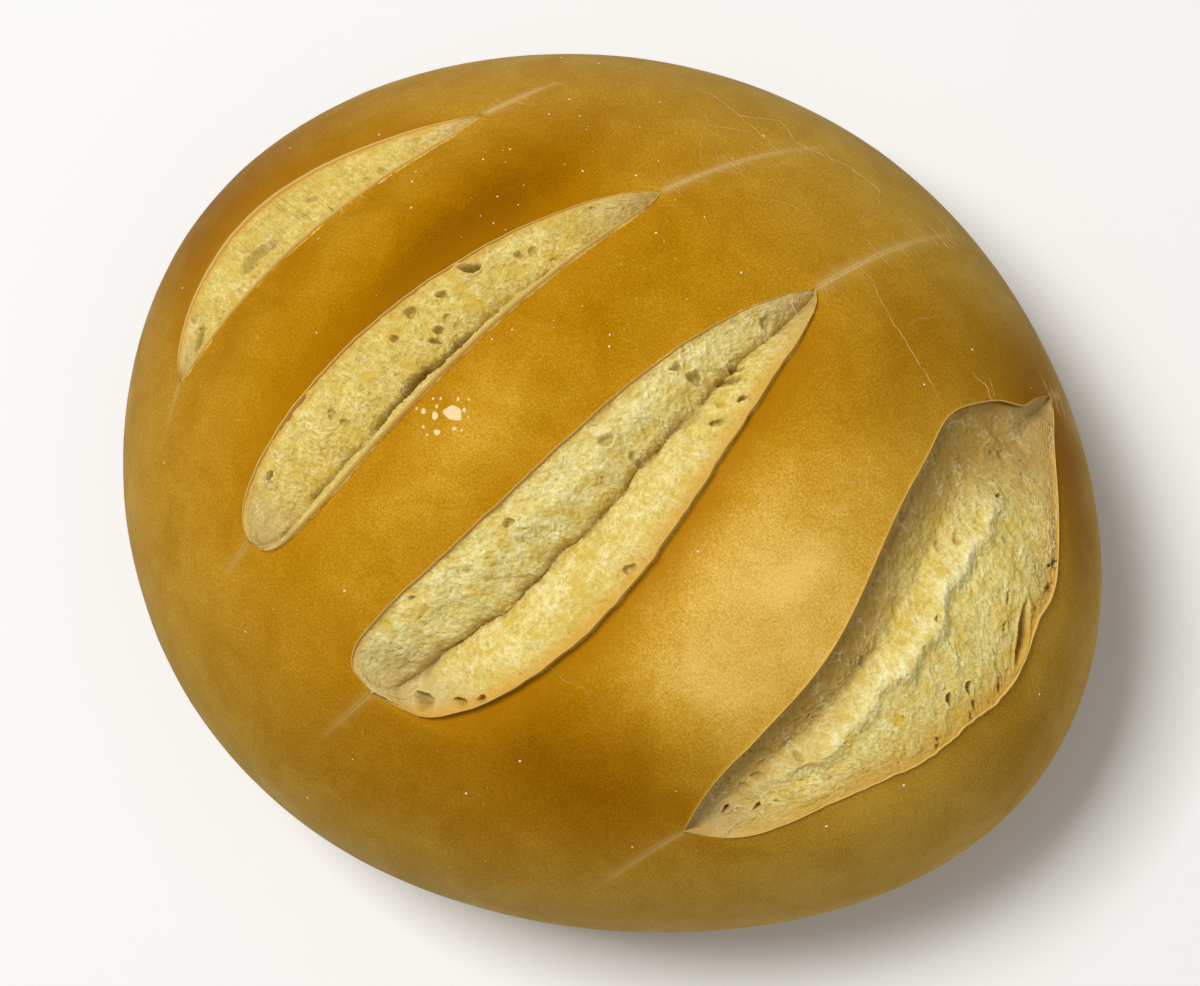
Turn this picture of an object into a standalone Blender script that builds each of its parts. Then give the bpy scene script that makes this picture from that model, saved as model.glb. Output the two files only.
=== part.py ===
"""Sourdough loaf: one solid hearth loaf with four slashes that opened in the oven.

Metres, +Z up. The long side of the loaf lies along X, and the origin is on the floor under its middle.
The loaf is a low dome with a flat base. A direction that leaves its centre has two angles: the across
angle leans it away from the slashes, and the around angle turns it from one side over the top to the
other. The mesh is a sphere whose columns are led along the edges of the slashes, so that every edge is
a clean line in the solid, and whose poles lie at the two ends of the loaf.
"""

import math
from dataclasses import dataclass

import bmesh
import bpy
from mathutils import Vector

# Driving sizes of the loaf
LENGTH = 0.240
WIDTH = 0.2004
HEIGHT = 0.105
WAIST = 0.036  # height of the widest line
KEEL = 0.052  # how deep the lower half would run if its base were not flat
PLAN_POWER = 2.15  # roundness of the upper side, seen level
KEEL_POWER = 2.3  # the same for the lower side
OUTLINE_WAVES = ((3, 0.0112, -0.0003), (4, 0.0079, -0.0081))  # waves round, cosine share, sine share

# How far the line through both poles of the mesh is turned from X
POLE_TURN = math.radians(-12.0)

# Past its tips a slash narrows to a scar in the crust, which widens and dies away
SCAR_WIDTH = math.radians(0.9)
SCAR_SPREAD = 0.10  # growth of its width for each degree past the tip
SCAR_DEPTH = 0.0005
SCAR_LENGTH = math.radians(9.0)

# The crust dips towards a slash over this distance
DIP_REACH = 0.007

# Slashes, scars and dips die away between these heights above the waist
MARKS_END = 0.003
MARKS_FULL = 0.015

# The walls of a groove are convex, and its depth dies away towards the tips
WALL_POWER = 1.5
TIP_POWER = 0.6

# A slash's line runs on past its tips up to this many half lengths from its middle
LINE_END = 1.1

# Columns and rows of the mesh
ROWS_ABOVE = 70
ROWS_BELOW = 22
LETTING_GO = (math.radians(12.0), math.radians(-42.0))  # the columns leave the slashes between these
BAND_COLUMNS = (5, 6, 6, 6, 5)
WALL_COLUMNS = 3  # on each wall of a groove
GROOVE_COLUMNS = 2 * WALL_COLUMNS + 2
LIP_STEP = 0.0007  # how far inside its edge a lip has fallen to the crumb
BASE_SNAP = 0.001  # points this close to the floor are put on it
SHARP_FROM = math.radians(30.0)  # edges that turn more than this, such as the rim of the base, look sharp

CRUST_COLOUR = (0.451, 0.204, 0.024, 1.0)
CRUST_ROUGHNESS = 0.48


@dataclass(frozen=True)
class Slash:
    """One cut of the blade: its line and its two sides in degrees, its depths in metres.

    A place along the slash is an around angle, and a place across it is an across angle.
    """

    tips: tuple  # around angles of the near and the far tip
    across: float  # across angle of the line halfway between the tips
    lean: float  # how far the line leans over each half of its length
    bow: float
    skew: float
    left: tuple  # how far the left side opened, and the powers that make its two tips fine or blunt
    right: tuple
    valley: float
    depth: float
    lips: tuple  # steps down from the crust to the crumb at the left and the right edge
    dips: tuple  # how far the crust sinks towards the left and the right edge
    overhang: float = 0.0

    def share(self, around):
        """0 at the near tip and 1 at the far tip."""
        near, far = self.tips
        return (math.degrees(around) - near) / (far - near)

    def past_tip(self, around):
        """Angle beyond the nearer tip, or 0 beside the slash."""
        near, far = self.tips
        return math.radians(max(math.degrees(around) - near, far - math.degrees(around), 0.0))

    def opening(self, around, side):
        """How far one side of the slash opened at a place along it, in degrees."""
        widest, near_power, far_power = side
        share = self.share(around)
        if not 0 < share < 1:
            return 0.0
        peak = near_power / (near_power + far_power)
        most = peak**near_power * (1 - peak) ** far_power
        return widest * share**near_power * (1 - share) ** far_power / most

    def openness(self, around):
        """0 at the tips and about 1 where the slash opened most."""
        both = self.opening(around, self.left) + self.opening(around, self.right)
        return both / (self.left[0] + self.right[0])

    def edges(self, around):
        """Across angles of the left and right edge, or of a scar's two sides past the tips."""
        place = max(-LINE_END, min(LINE_END, 2 * self.share(around) - 1))
        line = self.across + self.lean * place + self.bow * (1 - place * place) * (1 + self.skew * place)
        scar = math.degrees(SCAR_WIDTH + SCAR_SPREAD * self.past_tip(around)) / 2
        left = line - max(scar, self.opening(around, self.left))
        right = line + max(scar, self.opening(around, self.right))
        return math.radians(left), math.radians(right)


SLASHES = (
    Slash(tips=(129.4, 48.7), across=-42.8, lean=4.8, bow=-7.2, skew=0.27, left=(9.9, 0.48, 0.72),
          right=(2.2, 1.9, 0.69), valley=0.74, depth=0.0048, lips=(0.0010, 0.0026), dips=(0.0006, 0.0012)),
    Slash(tips=(135.0, 47.5), across=-12.4, lean=7.6, bow=-5.9, skew=0.15, left=(9.4, 0.58, 0.60),
          right=(6.8, 0.34, 0.59), valley=0.80, depth=0.0066, lips=(0.0012, 0.0016), dips=(0.0008, 0.0018)),
    Slash(tips=(139.4, 44.0), across=15.7, lean=6.4, bow=8.9, skew=-0.57, left=(12.7, 0.54, 0.80),
          right=(11.5, 0.17, 0.54), valley=0.50, depth=0.0082, lips=(0.0014, 0.0010), dips=(0.0010, 0.0020)),
    Slash(tips=(138.0, 15.0), across=48.6, lean=-4.6, bow=14.2, skew=0.69, left=(14.2, 3.83, 1.26),
          right=(12.3, 0.33, 0.64), valley=0.16, depth=0.0046, lips=(0.0030, 0.0005), dips=(0.0004, 0.0008),
          overhang=0.0030),
)


def direction(across, around):
    """Unit vector that leaves the centre at these two angles."""
    level = Vector((math.cos(POLE_TURN), math.sin(POLE_TURN), 0.0))
    forward = Vector((-math.sin(POLE_TURN), math.cos(POLE_TURN), 0.0))
    upward = Vector((0.0, 0.0, 1.0))
    ring = forward * math.cos(around) + upward * math.sin(around)
    return level * math.sin(across) + ring * math.cos(across)


def skin_radius(ray):
    """Distance from the centre to the skin of the unslashed loaf along a unit vector."""
    east = ray.x / (LENGTH / 2)
    north = ray.y / (WIDTH / 2)
    bearing = math.atan2(north, east)
    swell = 1.0
    for waves, cosine_share, sine_share in OUTLINE_WAVES:
        swell += cosine_share * math.cos(waves * bearing) + sine_share * math.sin(waves * bearing)
    level = math.hypot(east, north) / swell
    power = PLAN_POWER if ray.z >= 0 else KEEL_POWER
    rise = abs(ray.z) / (HEIGHT - WAIST if ray.z >= 0 else KEEL)
    return (level**power + rise**power) ** (-1 / power)


def skin_point(across, around):
    """Point of the unslashed loaf, with the floor at height 0."""
    ray = direction(across, around)
    return ray * skin_radius(ray) + Vector((0.0, 0.0, WAIST))


def skin_normal(point):
    """Outward direction of the dome at a point of its skin."""
    height = point.z - WAIST
    rise = HEIGHT - WAIST if height >= 0 else KEEL
    return Vector((point.x / (LENGTH / 2) ** 2, point.y / (WIDTH / 2) ** 2, height / rise**2)).normalized()


def marked(point):
    """1 on the upper side of the loaf, where the blade and the oven mark it, and 0 below the waist."""
    place = (point.z - WAIST - MARKS_END) / (MARKS_FULL - MARKS_END)
    place = max(0.0, min(1.0, place))
    return place * place * (3 - 2 * place)


def row_angle(row):
    """Around angle of a row of the mesh, with most rows over the top. It runs on below 0 to -90 degrees."""
    if row < ROWS_ABOVE:
        return math.pi * row / ROWS_ABOVE
    below = math.pi * (1 + (row - ROWS_ABOVE) / ROWS_BELOW)
    return below if below < 1.5 * math.pi else below - 2 * math.pi


def hold_of_slashes(around):
    """1 over the top of the loaf, where columns follow the slashes, and 0 well below the waist."""
    above_waist = math.atan2(math.sin(around), abs(math.cos(around)))
    place = (above_waist - LETTING_GO[1]) / (LETTING_GO[0] - LETTING_GO[1])
    place = max(0.0, min(1.0, place))
    return place * place * (3 - 2 * place)


def guide_angles(around):
    """Across angles of both poles and of the two edges of every slash, from left to right."""
    total = sum(BAND_COLUMNS) + GROOVE_COLUMNS * len(SLASHES)
    hold = hold_of_slashes(around)
    guides = [-math.pi / 2]
    passed = 0
    for slash, band in zip(SLASHES, BAND_COLUMNS):
        left, right = slash.edges(around)
        passed += band
        even_left = math.pi * (passed / total - 0.5)
        passed += GROOVE_COLUMNS
        even_right = math.pi * (passed / total - 0.5)
        guides.append(hold * left + (1 - hold) * even_left)
        guides.append(hold * right + (1 - hold) * even_right)
    return guides + [math.pi / 2]


def dip(point, across, around):
    """How far the crust sinks at a place, because a slash opened beside it."""
    reach = DIP_REACH / skin_radius(direction(across, around))
    sink = 0.0
    for slash in SLASHES:
        openness = slash.openness(around) ** 0.5
        left, right = slash.edges(around)
        if across <= left:
            sink += slash.dips[0] * openness * math.exp(-(((left - across) / reach) ** 2))
        if across >= right:
            sink += slash.dips[1] * openness * math.exp(-(((across - right) / reach) ** 2))
    return sink * marked(point)


def wall_depth(slash, place):
    """Depth of the crumb at a place across the groove where it is fully open, with convex walls."""
    left_lip, right_lip = slash.lips
    if place <= slash.valley:
        return left_lip + (slash.depth - left_lip) * (place / slash.valley) ** WALL_POWER
    rest = (1 - place) / (1 - slash.valley)
    return right_lip + (slash.depth - right_lip) * rest**WALL_POWER


def groove_depth(slash, place, around):
    """Depth of the groove, or of the scar past its tips, below the crust."""
    scar = SCAR_DEPTH * math.exp(-((slash.past_tip(around) / SCAR_LENGTH) ** 2))
    return scar + wall_depth(slash, place) * slash.openness(around) ** TIP_POWER


def groove_places(slash, width):
    """(place across, share of the overhang) of each column of a groove after its left edge."""
    lip = min(0.2, LIP_STEP / width)
    valley = max(slash.valley, 1.5 * lip)
    places = [(lip, 1.0)]
    for column in range(1, WALL_COLUMNS + 1):
        share = column / WALL_COLUMNS
        places.append((lip + (valley - lip) * share, (1 - share) ** 2))
    for column in range(1, WALL_COLUMNS):
        places.append((valley + (1 - lip - valley) * column / WALL_COLUMNS, 0.0))
    return places + [(1 - lip, 0.0)]


def band_points(left, right, around, columns):
    """Crust points of one row from the edge of one slash up to the edge of the next."""
    points = []
    for column in range(columns):
        place = column / columns
        eased = 0.5 - 0.5 * math.cos(math.pi * place)
        across = left + (right - left) * (place + eased) / 2
        point = skin_point(across, around)
        points.append(point - skin_normal(point) * dip(point, across, around))
    return points


def groove_points(slash, left, right, around):
    """Points of one row from the left edge of a slash, through its groove, up to its right edge."""
    lip = skin_point(left, around)
    left_dip = dip(lip, left, around)
    right_dip = dip(skin_point(right, around), right, around)
    points = [lip - skin_normal(lip) * left_dip]
    width = (right - left) * skin_radius(direction(left, around))
    sideways = direction(math.pi / 2, 0.0)
    for place, tucked in groove_places(slash, width):
        point = skin_point(left + (right - left) * place, around)
        sink = left_dip + (right_dip - left_dip) * place
        sink += marked(point) * groove_depth(slash, place, around)
        under = slash.overhang * tucked * marked(point) * slash.openness(around)
        points.append(point - skin_normal(point) * sink - sideways * under)
    return points


def row_points(around):
    """All points of one row of the mesh, from the left pole to the right pole."""
    guides = guide_angles(around)
    points = []
    for index, slash in enumerate(SLASHES):
        left_end, left, right = guides[2 * index], guides[2 * index + 1], guides[2 * index + 2]
        points += band_points(left_end, left, around, BAND_COLUMNS[index])
        points += groove_points(slash, left, right, around)
    points += band_points(guides[-2], guides[-1], around, BAND_COLUMNS[-1])
    points.append(skin_point(math.pi / 2, around))
    return points


def shape_sphere(mesh):
    """Carries every point of a unit sphere to its own place on the loaf."""
    rows = ROWS_ABOVE + ROWS_BELOW
    places = [row_points(row_angle(row)) for row in range(rows)]
    columns = len(places[0]) - 1
    bmesh.ops.create_uvsphere(mesh, u_segments=rows, v_segments=columns, radius=1.0)
    for vert in mesh.verts:
        column = round(math.acos(max(-1.0, min(1.0, vert.co.z))) / math.pi * columns)
        row = round(math.atan2(vert.co.y, vert.co.x) / math.tau * rows) % rows
        vert.co = places[row][column]


def cut_base(mesh):
    """Cuts the loaf flat where it baked on the hearth."""
    for vert in mesh.verts:
        if abs(vert.co.z) < BASE_SNAP:
            vert.co.z = 0.0
    everything = mesh.verts[:] + mesh.edges[:] + mesh.faces[:]
    bmesh.ops.bisect_plane(
        mesh, geom=everything, dist=1e-6, plane_co=(0, 0, 0), plane_no=(0, 0, -1), clear_outer=True
    )
    rim = [edge for edge in mesh.edges if edge.is_boundary]
    bmesh.ops.contextual_create(mesh, geom=rim)


def centre_on_floor(mesh):
    """Moves the loaf so that the origin is under the middle of its box."""
    corners = [[function(vert.co[axis] for vert in mesh.verts) for function in (min, max)] for axis in (0, 1)]
    middle = Vector((sum(corners[0]) / 2, sum(corners[1]) / 2, 0.0))
    for vert in mesh.verts:
        vert.co -= middle


def crust_material():
    """Golden-brown baked crust, satin smooth."""
    material = bpy.data.materials.new("baked crust")
    material.use_nodes = True
    shader = material.node_tree.nodes["Principled BSDF"]
    shader.inputs["Base Color"].default_value = CRUST_COLOUR
    shader.inputs["Roughness"].default_value = CRUST_ROUGHNESS
    shader.inputs["Metallic"].default_value = 0.0
    return material


def build_loaf():
    """Makes the loaf as one closed solid."""
    mesh = bmesh.new()
    shape_sphere(mesh)
    cut_base(mesh)
    centre_on_floor(mesh)
    bmesh.ops.triangulate(mesh, faces=mesh.faces[:], quad_method="SHORT_EDGE")
    bmesh.ops.recalc_face_normals(mesh, faces=mesh.faces[:])
    data = bpy.data.meshes.new("loaf")
    mesh.to_mesh(data)
    mesh.free()
    data.materials.append(crust_material())
    data.shade_smooth()
    data.set_sharp_from_angle(angle=SHARP_FROM)
    loaf = bpy.data.objects.new("loaf", data)
    bpy.context.scene.collection.objects.link(loaf)


def main():
    """Clears the scene and builds the loaf."""
    for item in list(bpy.data.objects):
        bpy.data.objects.remove(item)
    build_loaf()


main()
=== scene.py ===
"""Sourdough loaf, dressed: a golden crust with four slashes that opened in the oven and show pale crumb.

The crust is one closed shell and each slash holds a slab of crumb, tucked under the lips of the crust.
Their plain forms are worked out from the baker's sizes below. Geometry Nodes then give the crust its
unevenness and the crumb its torn relief, and lay the hairline cracks, the flour and the dried spots on top.
Sizes are in metres and angles in degrees, unless a name says otherwise.
"""

import logging
import math
from dataclasses import dataclass
from enum import Enum

import bmesh
import bpy
import numpy as np
from mathutils import Matrix, Vector
from mathutils.bvhtree import BVHTree


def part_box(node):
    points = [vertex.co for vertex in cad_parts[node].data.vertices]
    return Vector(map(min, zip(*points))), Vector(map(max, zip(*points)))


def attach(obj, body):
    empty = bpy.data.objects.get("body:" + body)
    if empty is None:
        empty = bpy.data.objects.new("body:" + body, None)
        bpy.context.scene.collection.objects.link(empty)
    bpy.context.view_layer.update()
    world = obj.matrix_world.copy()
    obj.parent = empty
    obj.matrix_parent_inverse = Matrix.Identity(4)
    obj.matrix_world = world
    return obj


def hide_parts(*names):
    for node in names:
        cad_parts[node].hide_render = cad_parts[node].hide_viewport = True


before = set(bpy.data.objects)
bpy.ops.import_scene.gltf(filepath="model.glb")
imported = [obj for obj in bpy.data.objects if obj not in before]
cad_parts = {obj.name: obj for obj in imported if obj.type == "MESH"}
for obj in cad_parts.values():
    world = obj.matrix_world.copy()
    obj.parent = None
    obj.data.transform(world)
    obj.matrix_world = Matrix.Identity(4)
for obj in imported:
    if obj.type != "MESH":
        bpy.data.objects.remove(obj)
LOG = logging.getLogger("loaf")

MM = 0.001
PHOTO_WIDTH = 1200
PHOTO_HEIGHT = 986


class Slot(Enum):
    """Material slots of the record."""

    CRUST = "crust"
    CRUMB = "crumb"


class Side(Enum):
    """The two sides of a slash, seen with its near tip below."""

    LEFT = 0
    RIGHT = 1


def linear(hex_colour: str) -> tuple[float, float, float, float]:
    """Turns an sRGB colour into linear light.

    Args:
        hex_colour: the colour as #rrggbb.

    Returns:
        Red, green, blue and alpha for a node socket.
    """
    parts = [int(hex_colour[place : place + 2], 16) / 255 for place in (1, 3, 5)]
    lit = [part / 12.92 if part <= 0.04045 else ((part + 0.055) / 1.055) ** 2.4 for part in parts]
    return (lit[0], lit[1], lit[2], 1.0)


def add_node(tree: bpy.types.NodeTree, kind: str, inputs: dict | None = None, output: int | str = 0, **settings):
    """Adds a node with its settings and links.

    Args:
        tree: the node tree that gets it.
        kind: Blender's name of the node type.
        inputs: for each input, by name or number, a value or the socket that feeds it.
        output: which output to give back.
        **settings: the node's own settings.

    Returns:
        The chosen output socket, or the node itself where it has no outputs.
    """
    node = tree.nodes.new(kind)
    for name, value in settings.items():
        setattr(node, name, value)
    for key, value in (inputs or {}).items():
        if isinstance(value, bpy.types.NodeSocket):
            tree.links.new(value, node.inputs[key])
        else:
            node.inputs[key].default_value = value
    return node.outputs[output] if len(node.outputs) else node


def mix_node(
    tree: bpy.types.NodeTree, amount: bpy.types.NodeSocket, colour: bpy.types.NodeSocket, shade: object
) -> bpy.types.NodeSocket:
    """Lays a colour over another.

    Args:
        tree: the material's tree.
        amount: socket of how much of the new colour shows.
        colour: socket of the colour below.
        shade: the new colour, as a hex value or a socket.

    Returns:
        The socket of the mixed colour.
    """
    above = linear(shade) if isinstance(shade, str) else shade
    values = {"Factor": amount, "A": colour, "B": above}
    return add_node(tree, "ShaderNodeMix", values, output="Result", data_type="RGBA")


def ramp_node(tree: bpy.types.NodeTree, tone: bpy.types.NodeSocket, stops: tuple) -> bpy.types.NodeSocket:
    """Turns a number from 0 to 1 into a colour.

    Args:
        tree: the material's tree.
        tone: socket of the number.
        stops: places and hex colours, in order.

    Returns:
        The socket of the colour.
    """
    colour = add_node(tree, "ShaderNodeValToRGB", {"Fac": tone}, output="Color")
    ramp = colour.node.color_ramp
    for position, shade in stops[1:-1]:
        ramp.elements.new(position).color = linear(shade)
    ramp.elements[0].color = linear(stops[0][1])
    ramp.elements[-1].color = linear(stops[-1][1])
    return colour


def smooth_step(value: np.ndarray, start: float, end: float) -> np.ndarray:
    """Rises from 0 at start to 1 at end without a corner."""
    place = np.clip((value - start) / (end - start), 0.0, 1.0)
    return place * place * (3 - 2 * place)


def bell(distance: np.ndarray, reach: float) -> np.ndarray:
    """Is 1 at no distance and dies away over the reach."""
    return np.exp(-((distance / reach) ** 2))


@dataclass(frozen=True)
class LoafForm:
    """Skin of the loaf before the blade, given by directions that leave its centre.

    The across angle leans a direction away from the slashes, and the around angle turns it over the top.
    """

    length: float = 0.240
    width: float = 0.2004
    height: float = 0.105
    waist: float = 0.036
    keel: float = 0.052
    plan_power: float = 2.15
    keel_power: float = 2.3
    outline_waves: tuple = ((3, 0.0112, -0.0003), (4, 0.0079, -0.0081))
    pole_turn: float = -12.0

    def direction(self, across: np.ndarray, around: np.ndarray) -> np.ndarray:
        """Gives the unit vectors at two angles in degrees."""
        turn = math.radians(self.pole_turn)
        level = np.array((math.cos(turn), math.sin(turn), 0.0))
        forward = np.array((-math.sin(turn), math.cos(turn), 0.0))
        across, around = np.broadcast_arrays(np.radians(across), np.radians(around))
        ring = np.cos(around)[..., None] * forward + np.sin(around)[..., None] * np.array((0.0, 0.0, 1.0))
        return np.sin(across)[..., None] * level + np.cos(across)[..., None] * ring

    def stretch(self, vectors: np.ndarray) -> np.ndarray:
        """Measures vectors from the centre.

        Args:
            vectors: points less the centre.

        Returns:
            Their lengths as shares of the way to the skin.
        """
        east = vectors[..., 0] / (self.length / 2)
        north = vectors[..., 1] / (self.width / 2)
        height = vectors[..., 2]
        bearing = np.arctan2(north, east)
        swell = np.ones_like(bearing)
        for waves, cosine_share, sine_share in self.outline_waves:
            swell += cosine_share * np.cos(waves * bearing) + sine_share * np.sin(waves * bearing)
        above = height >= 0
        power = np.where(above, self.plan_power, self.keel_power)
        rise = np.abs(height) / np.where(above, self.height - self.waist, self.keel)
        return ((np.hypot(east, north) / swell) ** power + rise**power) ** (1 / power)

    def radius(self, across: np.ndarray, around: np.ndarray) -> np.ndarray:
        """Gives the distance from the centre to the skin."""
        return 1 / self.stretch(self.direction(across, around))

    def point(self, across: np.ndarray, around: np.ndarray) -> np.ndarray:
        """Gives points of the skin, with the floor at height 0."""
        rays = self.direction(across, around)
        return rays / self.stretch(rays)[..., None] + np.array((0.0, 0.0, self.waist))

    def normal(self, points: np.ndarray) -> np.ndarray:
        """Gives the outward directions at points of the skin."""
        centred = points - np.array((0.0, 0.0, self.waist))
        step = 1e-5
        slope = [self.stretch(centred + step * axis) - self.stretch(centred - step * axis) for axis in np.eye(3)]
        normals = np.stack(slope, axis=-1)
        return normals / np.linalg.norm(normals, axis=-1, keepdims=True)

    def marked(self, points: np.ndarray) -> np.ndarray:
        """Gives 1 on the upper side, which the blade marks, and 0 below the waist."""
        return smooth_step(points[..., 2] - self.waist, 0.003, 0.015)


@dataclass(frozen=True)
class Pore:
    """One large bubble that the slash cut or tore open."""

    share: float
    place: float
    long: float
    wide: float
    turn: float = 0.0
    deep: float = 0.0015


@dataclass(frozen=True)
class Ridge:
    """A long soft ridge of crumb that runs along a slash, or a furrow where its height is negative."""

    place: float
    height: float
    reach: float
    start: float
    end: float


@dataclass(frozen=True)
class Slash:
    """One cut of the blade: its line and two sides as angles, its depths as lengths."""

    name: str
    tips: tuple[float, float]
    across: float
    lean: float
    bow: float
    skew: float
    left: tuple[float, float, float]
    right: tuple[float, float, float]
    valley: float
    depth: float
    lips: tuple[float, float]
    dips: tuple[float, float]
    near_crease: tuple[float, float]
    far_crease: tuple[float, float]
    rolls: tuple[float, float] = (0.0008, 0.0008)
    rims: tuple[float, float] = (0.3, 0.3)
    overhang: float = 0.0
    fold: float = 0.0008
    stray: tuple[float, float] = (0.0, 0.0)
    toast: tuple[float, float] = (0.4, 0.4)
    browned: tuple[float, float] = (0.2, 0.2)
    pull: float = 60.0
    pores: tuple[Pore, ...] = ()

    spacing: float = 0.00026
    bulges: tuple = ((), ())
    ridges: tuple = ()
    flush: tuple[float, float] = (1.0, 1.0)
    toast_reach: tuple[float, float] = (0.0013, 0.0020)
    # Tone shift of the crumb on each wall, partly the crumb's own colour and partly painted light
    pale: tuple[float, float] = (0.0, 0.0)
    bowl: bool = False

    scar_width = 0.24
    scar_depth = 0.0001
    scar_floor = 0.00014
    tip_power = 0.6
    wall_power = 1.5

    def share(self, around: np.ndarray) -> np.ndarray:
        """Gives 0 at the near tip and 1 at the far tip."""
        return (around - self.tips[0]) / (self.tips[1] - self.tips[0])

    def past_tip(self, around: np.ndarray) -> np.ndarray:
        """Gives the angle beyond the nearer tip, or 0 beside the slash."""
        return np.maximum(np.maximum(around - self.tips[0], self.tips[1] - around), 0.0)

    def opening(self, around: np.ndarray, side: Side) -> np.ndarray:
        """Tells how far one side of the slash opened.

        Args:
            around: around angles of the places.
            side: which side of the slash.

        Returns:
            Across angles from the line of the slash to its edge.
        """
        widest, near_power, far_power = (self.left, self.right)[side.value]
        share = np.clip(self.share(around), 0.0, 1.0)
        peak = near_power / (near_power + far_power)
        most = peak**near_power * (1 - peak) ** far_power
        opened = widest * share**near_power * (1 - share) ** far_power / most
        for middle, reach, more in self.bulges[side.value]:
            opened = opened + more * bell(share - middle, reach) * np.minimum(opened, 1.0)
        return opened

    def openness(self, around: np.ndarray) -> np.ndarray:
        """Gives 0 at the tips and about 1 where the slash opened most."""
        both = self.opening(around, Side.LEFT) + self.opening(around, Side.RIGHT)
        return both / (self.left[0] + self.right[0])

    def crease(self, around: np.ndarray) -> np.ndarray:
        """Gives 1 beside the slash, dying away to 0 at the ends of its creases."""
        near = np.clip((around - self.tips[0]) / self.near_crease[1], 0.0, 1.0)
        far = np.clip((self.tips[1] - around) / self.far_crease[1], 0.0, 1.0)
        return (1 - near**2) * (1 - far**2)

    def line(self, around: np.ndarray) -> np.ndarray:
        """Gives the across angle of the slash's line and of the creases past its tips."""
        place = np.clip(2 * self.share(around) - 1, -1.0, 1.0)
        curve = self.across + self.lean * place + self.bow * (1 - place**2) * (1 + self.skew * place)
        near = np.clip(around - self.tips[0], 0.0, self.near_crease[1])
        far = np.clip(self.tips[1] - around, 0.0, self.far_crease[1])
        return curve + self.near_crease[0] * near + self.far_crease[0] * far

    def edges(self, around: np.ndarray) -> tuple[np.ndarray, np.ndarray]:
        """Gives the across angles of the left and the right edge."""
        line = self.line(around)
        scar = self.scar_width * (0.3 + 0.7 * self.crease(around)) / 2
        left = line - np.maximum(scar, self.opening(around, Side.LEFT) + self.strays(around, Side.LEFT))
        right = line + np.maximum(scar, self.opening(around, Side.RIGHT) + self.strays(around, Side.RIGHT))
        return left, right

    def strays(self, around: np.ndarray, side: Side) -> np.ndarray:
        """Lets an edge wander a little, as dough does where it tears.

        Args:
            around: around angles of the places.
            side: which side of the slash.

        Returns:
            Across angles to add to the opening.
        """
        turn = np.radians(around)
        phase = 2.1 * self.across + 5.0 * side.value
        waves = np.sin(23 * turn + phase) + 0.8 * np.sin(41 * turn + 1.7 * phase)
        waves += 0.6 * np.sin(67 * turn + 2.9 * phase) + 0.4 * np.sin(103 * turn + 4.3 * phase)
        return self.stray[side.value] * waves * np.minimum(2 * self.openness(around), 1.0)

    def wall_depth(self, place: np.ndarray) -> np.ndarray:
        """Gives the depth of the crumb from the left edge, at 0, to the right edge, at 1."""
        left_lip, right_lip = self.lips
        inner = np.clip(place, 0.0, 1.0)
        fallen = np.clip(inner / self.valley, 0.0, 1.0)
        rest = np.clip((1 - inner) / (1 - self.valley), 0.0, 1.0)
        fallen = 1 - (1 - fallen) ** 2 if self.bowl else fallen**self.wall_power
        falling = left_lip + (self.depth - left_lip) * fallen
        rising = right_lip + (self.depth - right_lip) * rest**self.wall_power
        return np.where(inner <= self.valley, falling, rising)


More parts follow.
